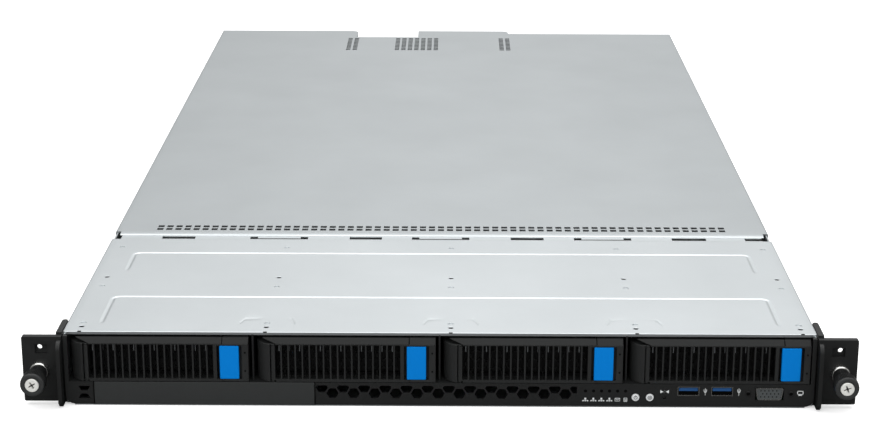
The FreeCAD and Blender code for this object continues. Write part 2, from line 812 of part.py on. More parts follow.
def front_usb_ports():
    """Two receptacles: each a steel shell with a contact tongue, on a plastic foot."""
    parts = []
    front = size.face_front
    for number in (0, 1):
        across = usb_first + size.usb_pitch * number
        low, high = across - size.usb_wide / 2, across + size.usb_wide / 2
        up = (size.usb_bottom, size.usb_bottom + size.usb_tall)
        shell = block(f"usb_shell_{number}", (low, high), (front, front + size.usb_deep), up)
        hollow = block(f"usb_hollow_{number}", (low + size.usb_wall, high - size.usb_wall),
                       (front - 1, front + size.usb_deep - size.usb_wall),
                       (up[0] + size.usb_wall, up[1] - size.usb_wall))
        tongue = block(f"usb_tongue_{number}", (low + 1, high - 1),
                       (front + 1, front + size.usb_deep - size.usb_wall),
                       (up[1] - 2.6, up[1] - 0.8))
        foot = block(f"usb_foot_{number}", (low + 1, high - 1),
                     (size.control_board_front, front + size.usb_deep), (control_board_top, up[0]))
        parts += [cut(f"usb_can_{number}", shell, hollow), tongue, foot]
    return piece(group("front_usb_ports", *parts), "front_usb_ports")


def front_video_port():
    """A fifteen-pin video socket: a D-shaped shell round its insert, on a plastic foot."""
    front, rim, taper = size.face_front, size.video_rim, size.video_taper
    low, high = video_across - size.video_wide / 2, video_across + size.video_wide / 2
    up = (size.video_bottom, size.video_bottom + size.video_tall)
    shell = Plate("video_shell", "y", (front, front + size.video_deep),
                  [(low + taper, up[0]), (high - taper, up[0]), (high, up[1]), (low, up[1])])
    shell.pocket([(low + taper + rim, up[0] + rim), (high - taper - rim, up[0] + rim),
                  (high - rim, up[1] - rim), (low + rim, up[1] - rim)], depth=size.video_mouth)
    foot = block("video_foot", (low + taper, high - taper), (size.control_board_front, front + size.video_deep),
                 (control_board_top, up[0]))
    return piece(group("front_video_port", shell.body, foot), "front_video_port")


def tray(number, middle):
    """One drive tray: the bezel with its scooped left side, two rails and a floor strap."""
    name = f"tray_{number}"
    left, right = -tray_width / 2, tray_width / 2
    low, high = size.tray_bottom, tray_top
    seam = right - size.lever_seam
    pocket_back = size.lever_thick + 0.6
    points = [(left + size.scoop_wide, 0), (left + size.scoop_wide, pocket_back), (seam, pocket_back),
              (seam, 0), (right, 0), (right, size.bezel_deep), (left, size.bezel_deep),
              (left, size.scoop_deep, size.scoop_wide * 1.3)]
    bezel = Plate(f"{name}_bezel", "z", (low, high), points).body
    window = block(f"{name}_window", (left + size.grille_left, right - size.latch_left - 3),
                   (0, size.bezel_deep + 1), (size.grille_bottom, grille_top))
    latch_room = block(f"{name}_latch_room", (right - size.latch_left - size.slip, right - size.post_wide),
                       (-1, size.latch_thick + size.slip), (size.latch_bottom - size.slip, latch_top + size.slip))
    stem_room = block(f"{name}_stem_room",
                      (right - size.latch_left + 2.8, right - size.latch_right - 2.6 + size.latch_travel),
                      (0, 9), (size.latch_bottom + 4.8, latch_top - 4.8))
    drive_room = block(f"{name}_drive_room", (-drive_width / 2 - size.slip, drive_width / 2 + size.slip),
                       (size.bezel_deep - 2, size.bezel_deep + 1), (low + 0.8, high + 1))
    front_part = cut(f"{name}_front", bezel, window, latch_room, stem_room, drive_room)
    hinge = (left + size.hinge_in, size.hinge_deep)
    link_top = (high - size.hinge_ear, high)
    link_low = (low, low + size.hinge_ear)
    ears = []
    for word, span in (("top", link_top), ("low", link_low)):
        ears.append(rod(f"{name}_{word}_ear", "z", hinge, span, size.hinge_deep - 0.1))
        ears.append(block(f"{name}_{word}_link", (left + size.scoop_wide - 0.5, hinge[0]),
                          (size.hinge_deep - 0.4, size.hinge_deep + 1.1), span))
    pin = rod(f"{name}_pin", "z", hinge, (low, high), size.hinge_pin_radius)
    rails = []
    for word, (inner, outer) in (("left", (left, left + size.tray_wall)), ("right", (right - size.tray_wall, right))):
        rails.append(block(f"{name}_{word}_rail", (inner, outer), (size.bezel_deep - 1, size.tray_back),
                           (low, high - 4)))
    strap = block(f"{name}_strap", (left, right), (size.tray_back - 30, size.tray_back), (low, low + 0.6))
    whole = join(name, front_part, *ears, pin, *rails, strap)
    return piece(place(whole, x=middle, y=size.face_front), name)


def lever(number, middle):
    """The grille that swings out: a frame with upright bars, hinged at its left end."""
    name = f"lever_{number}"
    left, right = -tray_width / 2, tray_width / 2
    low, high = size.tray_bottom, tray_top
    hinge = (left + size.hinge_in, size.hinge_deep)
    start = hinge[0] - size.hinge_deep
    stop = right - size.lever_seam - size.slip
    bend = size.hinge_deep
    frame = Plate(f"{name}_frame", "z", (low, high),
                  [(hinge[0], 0), (stop, 0), (stop, size.lever_thick), (start, size.lever_thick),
                   (start, size.hinge_deep, bend)])
    slots = [block(f"{name}_slot_{i + 1}",
                   (left + size.grille_left + size.grille_pitch * i,
                    left + size.grille_left + size.grille_pitch * (i + 1) - size.grille_bar),
                   (-1, size.lever_thick + 1), (size.grille_bottom, grille_top))
             for i in range(how_many(right - left - size.grille_left - size.latch_left - size.grille_end,
                                     size.grille_pitch))]
    room = block(f"{name}_latch_room", (right - size.latch_left - size.latch_gap, stop + 1),
                 (-1, size.lever_thick + 1), (size.latch_bottom - size.slip, latch_top + size.slip))
    knuckle = [block(f"{name}_{word}_gap", (start - 1, hinge[0] + size.hinge_deep + size.slip),
                     (-1, size.hinge_deep * 2), span)
               for word, span in (("top", (high - size.hinge_ear - size.slip, high + 1)),
                                  ("low", (low - 1, low + size.hinge_ear + size.slip)))]
    bore = rod(f"{name}_bore", "z", hinge, (low - 1, high + 1), size.hinge_pin_radius + size.running_gap)
    whole = cut(name, frame.body, *slots, room, *knuckle, bore)
    return piece(place(whole, x=middle, y=size.face_front), name)


def latch(number, middle):
    """The blue release that slides sideways to free the lever."""
    name = f"latch_{number}"
    right = tray_width / 2
    pad = block(f"{name}_pad", (right - size.latch_left, right - size.latch_right),
                (-0.3, size.latch_thick), (size.latch_bottom, latch_top))
    stem = block(f"{name}_stem", (right - size.latch_left + 3, right - size.latch_right - 3),
                 (size.latch_thick, 8.5), (size.latch_bottom + 5, latch_top - 5))
    return piece(place(join(name, pad, stem), x=middle, y=size.face_front), name)


def drive(number, middle):
    """A 3.5-inch drive: a cast body with a step round its lid and a connector block behind."""
    name = f"drive_{number}"
    half_wide = drive_width / 2
    back = size.drive_front + size.drive_length
    low = size.drive_bottom
    body = block(f"{name}_casting", (-half_wide, half_wide), (size.drive_front, back),
                 (low, low + size.drive_height - 3))
    lid = block(f"{name}_lid", (2 - half_wide, half_wide - 2), (size.drive_front + 2, back - 6),
                (low + size.drive_height - 3, low + size.drive_height))
    return piece(place(join(name, body, lid), x=middle), name)


def backplane():
    """The board behind the drives, with air windows and one connector for each drive."""
    low, high = shelf_top + size.slip, side_top - 1
    board = Plate("backplane_board", "y", (size.backplane_front, size.backplane_front + size.board_thick),
                  rectangle(-side_in + 3, side_in - 3, low, high))
    board.pocket(rectangle(tray_pitch * -1.5 - 40, tray_pitch * -1.5 + 40, 27, 38),
                 repeats=[("H_Axis", tray_pitch, size.bay_count)])
    sockets = []
    back = size.backplane_front
    for number in range(SIZES["bay_count"]):
        middle = tray_pitch * (number - 1.5)
        sockets.append(block(f"drive_socket_{number + 1}", (middle - 21, middle + 21),
                             (size.drive_front + size.drive_length + size.slip, back), (16, 23)))
    return piece(group("backplane", board.body, *sockets), "backplane")


HUB_SIDES = 16
FAN_COUNT = SIZES["fan_count"]
fan_pitch = (size.body_width - size.fan_margin) / size.fan_count
fan_low = size.sheet + size.slip
fan_axis_up = fan_low + size.fan_side / 2
fan_back = size.fan_front + size.fan_deep


def fan_middle(number):
    """The place across of one fan, counted from the left."""
    return fan_pitch * (number - (size.fan_count + 1) / 2)


def fan_wall():
    """The partition that the fans blow through, folded forward along its foot."""
    wall = Plate("fan_partition", "y", (size.fan_front - size.slip - size.sheet, size.fan_front - size.slip),
                 rectangle(-side_in, side_in, size.sheet, size.body_height - size.seam_drop - size.slip))
    wall.pocket((fan_middle(1), fan_axis_up, size.fan_bore), ring,
                repeats=[("H_Axis", fan_pitch, size.fan_count)])
    foot = block("fan_wall_foot", (-side_in, side_in), (size.fan_front - 12, size.fan_front - size.slip),
                 (size.sheet, size.sheet * 2))
    wall_foot = cut("fan_foot", foot, *[rod(f"foot_gap_{i}", "y", (fan_middle(i), fan_axis_up),
                                            (size.fan_front - 13, size.fan_front), size.fan_bore)
                                        for i in range(1, FAN_COUNT + 1)])
    return piece(join("fan_wall", wall.body, wall_foot), "fan_wall")


def fan_frames():
    """The fans' housings: a square frame, three struts and the motor's cup."""
    frames = []
    for number in range(1, FAN_COUNT + 1):
        name = f"fan_frame_{number}"
        middle = fan_middle(number)
        side = size.fan_side / 2
        outer = block(f"{name}_outer", (middle - side, middle + side), (size.fan_front, fan_back),
                      (fan_low, fan_low + size.fan_side))
        bore = rod(f"{name}_bore", "y", (middle, fan_axis_up), (size.fan_front - 1, fan_back + 1), size.fan_bore)
        shell = cut(f"{name}_shell", outer, bore)
        cup = Plate(f"{name}_cup", "y", (fan_back - 5, fan_back), polygon(size.fan_hub, HUB_SIDES)).body
        place(cup, x=middle, z=fan_axis_up)
        bars = [block(f"{name}_bar_across", (middle - size.fan_bore - 0.5, middle + size.fan_bore + 0.5),
                      (fan_back - 3, fan_back), (fan_axis_up - 0.8, fan_axis_up + 0.8)),
                block(f"{name}_bar_up", (middle - 0.8, middle + 0.8), (fan_back - 3, fan_back),
                      (fan_low + 0.5, fan_low + size.fan_side - 0.5))]
        solid = join(f"{name}_solid", shell, cup, *bars)
        frames.append(cut(name, solid, rod(f"{name}_bearing", "y", (middle, fan_axis_up),
                                           (fan_back - 6, fan_back - 1), size.fan_shaft + size.running_gap)))
    return piece(group("fan_frames", *frames), "fan_frames")


def impeller(name, across, up, front):
    """A rotor that turns about Y: a hub with pitched blades and the shaft behind it."""
    body = doc.addObject("PartDesign::Body", f"{name}_body")
    hub_back = size.fan_deep - 6
    tip = size.fan_bore - size.fan_tip_gap

    def sketch(label, role, offset, draw_it):
        """A sketch on one of the body's own planes."""
        item = body.newObject("Sketcher::SketchObject", f"{name}_{label}")
        plane = next(p for p in body.Origin.OriginFeatures if p.Role == role)
        item.AttachmentSupport = [(plane, "")]
        item.MapMode = "FlatFace"
        bind(item, "AttachmentOffset.Base.z", offset)
        draw_it(item)
        return item

    hub = body.newObject("PartDesign::Pad", f"{name}_hub")
    hub.Profile = sketch("hub_outline", "XZ_Plane", -1.5, lambda s: outline(s, polygon(size.fan_hub, HUB_SIDES)))
    hub.Reversed = True
    bind(hub, "Length", hub_back - 1.5)
    shaft = body.newObject("PartDesign::Pad", f"{name}_shaft")
    shaft.Profile = sketch("shaft_circle", "XZ_Plane", -hub_back, lambda s: ring(s, 0, 0, size.fan_shaft))
    shaft.Reversed = True
    bind(shaft, "Length", 4)
    sweep, deep = 5.5, 15
    slant = [(4, -sweep), (4 + size.blade_sheet * 1.6, -sweep), (4 + deep, sweep - size.blade_sheet),
             (4 + deep, sweep)]
    blade = body.newObject("PartDesign::Pad", f"{name}_blade")
    blade.Profile = sketch("blade_outline", "YZ_Plane", size.fan_hub - 1.5, lambda s: outline(s, slant))
    bind(blade, "Length", tip - size.fan_hub + 1.5 - 1.4)
    wheel = body.newObject("PartDesign::PolarPattern", f"{name}_blades")
    wheel.Originals = [blade]
    wheel.Axis = (hub.Profile[0], ["N_Axis"])
    wheel.Angle = 360
    bind(wheel, "Occurrences", size.blade_count)
    body.Tip = wheel
    place(body, x=across, y=front, z=up)
    return piece(body, name)


def motherboard():
    """The main board, its processor socket and the memory sockets."""
    left, right, front = main_board_left, main_board_right, size.main_board_front
    back = size.notch_back - size.sheet - size.slip
    board = Plate("board_plate", "z", (board_bottom, board_top),
                  [(left, front), (right, front), (right, rear_inside - size.slip),
                   (notch_right + 2, rear_inside - size.slip), (notch_right + 2, back), (left, back)])
    middle = size.sink_front + size.sink_deep / 2
    sink_left, sink_wide = sink_sides()
    across = sink_left + sink_wide / 2
    socket = block("processor", (across - 29, across + 29), (middle - 36, middle + 36),
                   (board_top, board_top + size.socket_height))
    sockets = []
    for bank in (modules_left, modules_right):
        for number in range(int(SIZES["modules_per_bank"])):
            across = bank + size.module_pitch * number
            sockets.append(block(f"memory_socket_{len(sockets) + 1}", (across - 3.2, across + 3.2),
                                 (size.modules_front - 4, size.modules_front + size.module_long + 4),
                                 (board_top, board_top + 2.4)))
    return piece(group("motherboard", board.body, socket, *sockets), "motherboard")


def memory_modules():
    """The memory modules, upright in two banks."""
    modules = []
    for bank in (modules_left, modules_right):
        for number in range(int(SIZES["modules_per_bank"])):
            across = bank + size.module_pitch * number
            low = board_top + 2.4
            modules.append(block(f"memory_{len(modules) + 1}",
                                 (across - size.module_sheet / 2, across + size.module_sheet / 2),
                                 (size.modules_front, size.modules_front + size.module_long),
                                 (low, low + size.module_tall)))
    return piece(group("memory_modules", *modules), "memory_modules")


def sink_sides():
    """The left side and the width of the heat sink, between the two banks of modules."""
    left = modules_left + size.module_pitch * (size.modules_per_bank - 1) + size.sink_left_gap
    return left, modules_right - size.sink_right_gap - left


def heat_sink():
    """The processor's heat sink: a base with upright fins along the air's way."""
    low = board_top + size.socket_height
    left, wide = sink_sides()
    run = (size.sink_front, size.sink_front + size.sink_deep)
    base_top = low + size.sink_base
    parts = [block("sink_base", (left, left + wide), run, (low, base_top))]
    for number in range(how_many(wide - size.fin_sheet * 2, size.fin_pitch)):
        fin = left + size.fin_sheet + size.fin_pitch * number
        parts.append(block(f"sink_fin_{number + 1}", (fin, fin + size.fin_sheet), run,
                           (base_top, low + size.sink_tall)))
    return piece(join("heat_sink", *parts), "heat_sink")


def air_duct():
    """The plastic duct that leads the fans' air over the processor and the memory."""
    left = modules_left - 8
    right = modules_right + size.module_pitch * size.modules_per_bank + 4
    wall = size.duct_wall
    top = cover_under - 0.4
    section = [(left, board_top), (left + wall, board_top), (left + wall, top - wall / 2),
               (right - wall, top - wall / 2), (right - wall, board_top), (right, board_top),
               (right, top), (left, top)]
    return piece(Plate("air_duct", "y", (size.duct_front, size.duct_back), section).body, "air_duct")


def riser_cards():
    """Two riser boards with their slots, on a folded bracket."""
    parts = []
    for number, (across, front) in enumerate(((notch_left - 4, 690), (notch_right + 6, 700))):
        board = block(f"riser_board_{number + 1}", (across, across + size.board_thick), (front, 800),
                      (board_top + 2, 41))
        slot = block(f"riser_slot_{number + 1}", (across - 9, across), (front + 8, 792), (26, 34))
        socket = block(f"riser_socket_{number + 1}", (across - 3, across + 4.6), (front + 4, 796),
                       (board_top, board_top + 2))
        parts += [board, slot, socket]
    return piece(group("riser_cards", *parts), "riser_cards")


def rear_panel():
    """The folded rear wall: it steps forward at the ports and has two card slots above."""
    edge, inside = size.body_length, rear_inside
    notch, left, right = size.notch_back, notch_left, notch_right
    wall = size.sheet
    end = supply_left - wall
    section = [(-side_in, inside), (left - wall, inside), (left - wall, notch - wall),
               (right + wall, notch - wall), (right + wall, inside), (end, inside), (end, edge),
               (right, edge), (right, notch), (left, notch), (left, edge), (-side_in, edge)]
    folded = Plate("rear_wall", "z", (size.sheet, side_top), section).body
    up = (size.slot_bottom, size.slot_bottom + size.slot_tall)
    openings = []
    for number, (middle, wide) in enumerate(slot_places()):
        openings.append(block(f"slot_opening_{number + 1}", (middle - wide / 2 + 1.2, middle + wide / 2 - 1.2),
                              (inside - 1, edge + 1), (up[0] + 1, up[1] - 1)))
    for number, (low, high, top, back) in enumerate(port_places()):
        openings.append(block(f"port_opening_{number + 1}", (low - size.slip, high + size.slip),
                              (back - wall - 0.5, back + 0.5), (size.port_bottom - size.slip, top + size.slip)))
    first = -side_in + 10
    vents = [block(f"rear_vent_{number + 1}", (first + 8.0 * number, first + 8.0 * number + 5.5),
                   (inside - 1, edge + 1), (5, 18)) for number in range(how_many(side_in + notch_left - 19.5, Size.of(8)))]
    return piece(cut("rear_panel", folded, *openings, *vents), "rear_panel")


def slot_places():
    """Middle and width of each card slot in the rear wall."""
    full_middle = (-side_in + notch_left) / 2
    full_wide = side_in + notch_left - size.full_slot_margin
    half_middle = (notch_right + supply_left) / 2
    return ((full_middle, full_wide), (half_middle, size.half_slot))


def port_places():
    """Low side, high side, top and wall plane of each rear port."""
    net_top = size.port_bottom + size.net_tall
    left = notch_left + 4
    places = [(left, left + 14, size.port_bottom + 15.6, size.notch_back)]
    for number in range(2):
        low = left + 17.5 + (size.net_wide + 0.8) * number
        places.append((low, low + size.net_wide, net_top, size.notch_back))
    places.append((notch_right + 7, notch_right + 7 + size.net_wide, net_top, size.body_length))
    places.append((notch_right + 33, notch_right + 64, size.port_bottom + 12.5, size.body_length))
    return places


def slot_covers():
    """The plain brackets that close the two card slots."""
    up = (size.slot_bottom, size.slot_bottom + size.slot_tall)
    covers = [block(f"slot_cover_{number + 1}", (middle - wide / 2, middle + wide / 2),
                    (rear_inside - 0.9, rear_inside), up)
              for number, (middle, wide) in enumerate(slot_places())]
    return piece(group("slot_covers", *covers), "slot_covers")


def rear_ports():
    """The sockets on the main board's rear edge: stacked pair, three network and one video."""
    parts = []
    for number, (low, high, top, back) in enumerate(port_places()):
        name = f"rear_port_{number + 1}"
        can = block(f"{name}_can", (low, high), (back - size.net_deep, back), (size.port_bottom, top))
        if number == 0:
            rooms = [block(f"{name}_room_{i}", (low + 0.7, high - 0.7), (back - 12, back + 1), (up, up + 5.2))
                     for i, up in enumerate((size.port_bottom + 1.4, size.port_bottom + 9))]
        elif number == 4:
            rooms = [block(f"{name}_room", (low + 7, high - 7), (back - 6, back + 1),
                           (size.port_bottom + 2.4, top - 2.4))]
        else:
            rooms = [block(f"{name}_room", (low + 2.3, high - 2.3), (back - 14, back + 1),
                           (size.port_bottom + 2, top - 3))]
        parts.append(cut(name, can, *rooms))
    return piece(group("rear_ports", *parts), "rear_ports")


def supply_cage():
    """The walls of the two supply bays."""
    front = size.body_length - size.supply_long - 8
    walls = []
    for number, across in enumerate((supply_left - size.sheet, supply_bay(1) - size.sheet)):
        walls.append(block(f"supply_wall_{number + 1}", (across, across + size.sheet),
                           (front, rear_inside), (size.sheet, side_top)))
    foot = block("supply_floor", (supply_left - size.sheet, supply_bay(1)), (front, front + 6),
                 (size.sheet, size.sheet * 1.3))
    return piece(join("supply_cage", *walls, foot), "supply_cage")


def supply_bay(number):
    """The left side of a supply bay."""
    pitch = (side_in - supply_left + size.sheet) / 2
    return supply_left + pitch * number


def supply_middle(number):
    """The middle of a supply, which stands in its bay with the same room on both sides."""
    pitch = (side_in - supply_left + size.sheet) / 2
    return supply_bay(number) + (pitch - size.sheet) / 2


def supply(number):
    """A power supply: a steel case with its fan's grille, mains inlet and pull handle."""
    name = f"supply_{number + 1}"
    half_wide = size.supply_width / 2
    wall = size.supply_wall
    back = size.body_length
    front = back - size.supply_long
    low = size.sheet + 0.3
    high = low + size.supply_tall
    case = block(f"{name}_case", (-half_wide, half_wide), (front, back), (low, high))
    hollow = block(f"{name}_hollow", (wall - half_wide, half_wide - wall), (front + wall, back - wall),
                   (low + wall, high - wall))
    air_in = block(f"{name}_air_in", (-half_wide + 4, half_wide - 4), (front - 1, front + wall + 1),
                   (low + 12, high - 4))
    inlet_left, inlet_low = size.inlet_left, low + 5
    inlet_hole = block(f"{name}_inlet_hole", (inlet_left, inlet_left + size.inlet_wide), (back - 2, back + 1),
                       (inlet_low, inlet_low + size.inlet_tall))
    slots = [block(f"{name}_fan_slot_{i + 1}", (-half_wide + 4, size.handle_left - 1), (back - 2, back + 1),
                   (low + 4 + 4.2 * i, low + 7 + 4.2 * i)) for i in range(8)]
    latch_left = size.supply_latch_left
    latch_slot = block(f"{name}_latch_slot",
                       (latch_left - size.supply_latch_travel - size.slip,
                        latch_left + size.supply_latch_thick + size.slip),
                       (back - 2, back + 1), (low + 12.8, low + 27.2))
    shell = cut(f"{name}_shell", case, hollow, air_in, inlet_hole, latch_slot, *slots)
    handle_side = (size.handle_left, size.handle_left + size.handle_thick)
    plate = block(f"{name}_handle_plate", handle_side, (back, back + size.handle_reach), (low + 4, high - 4))
    finger = block(f"{name}_finger_hole", (handle_side[0] - 1, handle_side[1] + 1),
                   (back + 5, back + size.handle_reach - 4), (low + 8.5, high - 8.5))
    handle = cut(f"{name}_handle", plate, finger)
    cup = block(f"{name}_inlet_cup", (inlet_left, inlet_left + size.inlet_wide), (back - 22, back),
                (inlet_low, inlet_low + size.inlet_tall))
    mouth = block(f"{name}_inlet_mouth", (inlet_left + 1, inlet_left + size.inlet_wide - 1), (back - 20, back + 1),
                  (inlet_low + 2, inlet_low + size.inlet_tall - 2))
    pins = [block(f"{name}_pin_{i + 1}", (inlet_left + 13 + shift - 1, inlet_left + 13 + shift + 1),
                  (back - 20, back - 4.5), (inlet_low + rise, inlet_low + rise + 4))
            for i, (shift, rise) in enumerate(((-7, 6), (7, 6), (0, 10)))]
    inlet = join(f"{name}_inlet", cut(f"{name}_inlet_body", cup, mouth), *pins)
    motor_mount = block(f"{name}_motor_mount", (-half_wide + wall, 2), (back - 11, back - 8.5),
                        (low + 17, low + 23))
    bearing = rod(f"{name}_bearing", "y", (supply_fan_across(), low + size.supply_tall / 2),
                  (back - 12, back - 8), size.fan_shaft + size.running_gap)
    mount = cut(f"{name}_mount", motor_mount, bearing)
    whole = group(name, join(f"{name}_metal", shell, handle, mount), inlet)
    return piece(place(whole, x=supply_middle(number)), name)


def supply_fan_across():
    """The place across of a supply's fan, from the supply's middle."""
    return -size.supply_width / 2 + size.supply_wall + size.fan_bore


def supply_latch(number):
    """The sprung tab that locks a supply: pressed inward to release it."""
    name = f"supply_latch_{number + 1}"
    low = size.sheet + 0.3
    back = size.body_length
    sides = (size.supply_latch_left, size.supply_latch_left + size.supply_latch_thick)
    tab = block(f"{name}_tab", sides, (back - 12, back + 14), (low + 13, low + 27))
    grip = block(f"{name}_grip", sides, (back + 8, back + 14), (low + 10, low + 30))
    return piece(place(join(name, tab, grip), x=supply_middle(number)), name)


def rail_studs():
    """The shouldered studs on the chassis sides that hook into the rack's rails."""
    studs = []
    for number in range(int(SIZES["stud_count"])):
        centre = (size.stud_first + size.stud_pitch * number, size.stud_height)
        neck = rod(f"stud_neck_{number + 1}", "x", centre, (side_out, side_out + size.stud_out), size.stud_neck)
        head = rod(f"stud_head_{number + 1}", "x", centre,
                   (side_out + size.stud_out, side_out + size.stud_out + 1), size.stud_head)
        studs.append(join(f"stud_{number + 1}", neck, head))
    right = group("rail_studs_right", *studs)
    return piece(group("rail_studs", right, mirror("rail_studs_left", right)), "rail_studs")


chassis_base()
rear_panel()
front_cover()
top_cover()
front_panel()
blanking_cover()
drive_cage()
rack_ears()
thumbscrew_ferrules()
thumbscrew("right", 1)
thumbscrew("left", -1)
button_front = size.face_front - size.button_proud
button("power_button", power_across, size.button_radius, button_front)
button("locate_button", locate_across, size.button_radius, button_front)
button("reset_button", reset_across, size.reset_radius, size.face_front + size.reset_sunk)
control_board()
front_usb_ports()
front_video_port()
for bay in range(SIZES["bay_count"]):
    bay_middle = tray_pitch * (bay - 1.5)
    tray(bay + 1, bay_middle)
    lever(bay + 1, bay_middle)
    latch(bay + 1, bay_middle)
    drive(bay + 1, bay_middle)
backplane()
fan_wall()
fan_frames()
for fan in range(1, FAN_COUNT + 1):
    impeller(f"impeller_{fan}", fan_middle(fan), fan_axis_up, size.fan_front)
motherboard()
memory_modules()
heat_sink()
air_duct()
riser_cards()
slot_covers()
rear_ports()
supply_cage()
for bay in range(2):
    supply(bay)
    supply_latch(bay)
    impeller(f"supply_impeller_{bay + 1}", supply_middle(bay) + supply_fan_across(),
             size.sheet + 0.3 + size.supply_tall / 2, size.body_length - 34)
rail_studs()

doc.recompute()

faults = [item.Name for item in doc.Objects if "Invalid" in item.State or "Error" in item.State]
faults += [item.Label for item in pieces if item.Shape.isNull() or not item.Shape.isValid()]
if faults:
    raise RuntimeError(f"these objects failed: {faults}")

os.makedirs("parts", exist_ok=True)
for item in pieces:
    item.Shape.exportStep(f"parts/{item.Label}.step")
print(f"{len(pieces)} sub-parts written")
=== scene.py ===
"""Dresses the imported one-unit rack server and lights it on a white table.

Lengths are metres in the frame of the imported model: X runs to the right as seen from the front,
Y runs back and Z runs up. New shapes are worked out in millimetres, and piece() turns them to metres.
"""
import json
import math

import bmesh
import bpy
import numpy as np
from mathutils import Matrix, Vector

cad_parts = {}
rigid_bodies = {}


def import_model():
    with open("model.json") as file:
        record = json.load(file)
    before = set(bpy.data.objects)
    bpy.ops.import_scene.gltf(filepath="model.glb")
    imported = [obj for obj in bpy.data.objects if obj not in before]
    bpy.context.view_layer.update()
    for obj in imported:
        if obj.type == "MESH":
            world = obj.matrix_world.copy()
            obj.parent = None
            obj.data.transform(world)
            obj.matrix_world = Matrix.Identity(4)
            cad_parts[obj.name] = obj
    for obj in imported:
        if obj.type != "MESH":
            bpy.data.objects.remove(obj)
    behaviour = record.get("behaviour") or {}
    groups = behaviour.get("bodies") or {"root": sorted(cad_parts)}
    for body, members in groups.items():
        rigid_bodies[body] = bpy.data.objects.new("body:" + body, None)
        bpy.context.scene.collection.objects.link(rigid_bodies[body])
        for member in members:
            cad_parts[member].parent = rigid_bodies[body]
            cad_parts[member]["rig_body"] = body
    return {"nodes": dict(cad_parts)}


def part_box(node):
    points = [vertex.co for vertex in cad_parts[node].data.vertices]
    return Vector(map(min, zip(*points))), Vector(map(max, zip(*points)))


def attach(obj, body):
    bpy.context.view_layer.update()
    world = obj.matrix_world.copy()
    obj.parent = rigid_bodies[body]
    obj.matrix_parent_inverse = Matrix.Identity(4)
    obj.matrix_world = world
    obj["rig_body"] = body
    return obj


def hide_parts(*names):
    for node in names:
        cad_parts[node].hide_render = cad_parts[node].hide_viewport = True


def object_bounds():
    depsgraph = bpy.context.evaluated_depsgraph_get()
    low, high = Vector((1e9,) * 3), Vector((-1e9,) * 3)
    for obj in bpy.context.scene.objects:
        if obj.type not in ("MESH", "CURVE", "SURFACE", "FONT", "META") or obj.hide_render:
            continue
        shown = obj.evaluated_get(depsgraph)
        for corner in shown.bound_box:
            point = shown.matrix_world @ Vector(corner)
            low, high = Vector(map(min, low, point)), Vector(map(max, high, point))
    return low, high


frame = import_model()
cad_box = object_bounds()
MM = 0.001
nodes = frame["nodes"]


def linear(code):
    """An sRGB hex colour as linear light: c / 12.92 up to 0.04045, ((c + 0.055) / 1.055) ^ 2.4 above."""
    srgb = np.array([int(code[i:i + 2], 16) for i in (1, 3, 5)]) / 255
    light = np.where(srgb <= 0.04045, srgb / 12.92, ((srgb + 0.055) / 1.055) ** 2.4)
    return (*light.tolist(), 1.0)


def add(tree, kind, inputs=None, **settings):
    """Add a node with its settings; an input is a value, a socket, or a node for its first output."""
    node = tree.nodes.new(kind)
    for name, value in settings.items():
        setattr(node, name, value)
    for name, value in (inputs or {}).items():
        if isinstance(value, bpy.types.Node):
            value = value.outputs[0]
        if isinstance(value, bpy.types.NodeSocket):
            tree.links.new(value, node.inputs[name])
        else:
            node.inputs[name].default_value = value
    return node


def finish_named(name, colour, **sockets):
    """A material with one Principled shader whose constants sit on its own sockets."""
    made = bpy.data.materials.new(name)
    made.use_nodes = True
    shader = made.node_tree.nodes["Principled BSDF"]
    shader.inputs["Base Color"].default_value = linear(colour)
    for socket, value in sockets.items():
        shader.inputs[socket.replace("_", " ")].default_value = value
    return made, made.node_tree, shader


def grained(tree, shader, size, detail, dull, relief=None):
    """Vary the roughness between two values by a noise of a given size.

    Where relief gives a strength and a height, the same noise raises the surface.
    """
    place = add(tree, "ShaderNodeTexCoord").outputs["Object"]
    noise = add(tree, "ShaderNodeTexNoise", {"Vector": place, "Scale": 1 / size, "Detail": detail})
    rough = add(tree, "ShaderNodeMapRange", {"Value": noise, "To Min": dull[0], "To Max": dull[1]})
    tree.links.new(rough.outputs[0], shader.inputs["Roughness"])
    if relief:
        bump = add(tree, "ShaderNodeBump", {"Height": noise, "Strength": relief[0], "Distance": relief[1]})
        tree.links.new(bump.outputs[0], shader.inputs["Normal"])


def zinc_plated_sheet(name, dark, light):
    """Cold-rolled sheet plated in zinc: satin, bluish, with a faint cloudiness from the bath."""
    made, tree, shader = finish_named(name, light, Metallic=1.0)
    # Clouds 60 mm across from uneven plating
    place = add(tree, "ShaderNodeTexCoord").outputs["Object"]
    cloud = add(tree, "ShaderNodeTexNoise", {"Vector": place, "Scale": 1 / (60 * MM), "Detail": 3.0})
    tone = add(tree, "ShaderNodeMix", {0: cloud, 6: linear(dark), 7: linear(light)}, data_type="RGBA")
    tree.links.new(tone.outputs[2], shader.inputs["Base Color"])
    # The rolled grain is 0.1 mm; drawn at 0.8 mm, which still blurs the gloss at this distance
    grained(tree, shader, 0.8 * MM, 2.0, (0.36, 0.48), (0.15, 0.01 * MM))
    return made


def powder_coat(name, colour):
    """Baked black powder coat on steel: a fine orange peel that breaks up the gloss."""
    made, tree, shader = finish_named(name, colour, IOR=1.5, Specular_IOR_Level=0.35)
    # Orange peel 0.5 mm across, drawn at 1 mm
    grained(tree, shader, 1.0 * MM, 1.0, (0.44, 0.6), (0.3, 0.05 * MM))
    return made


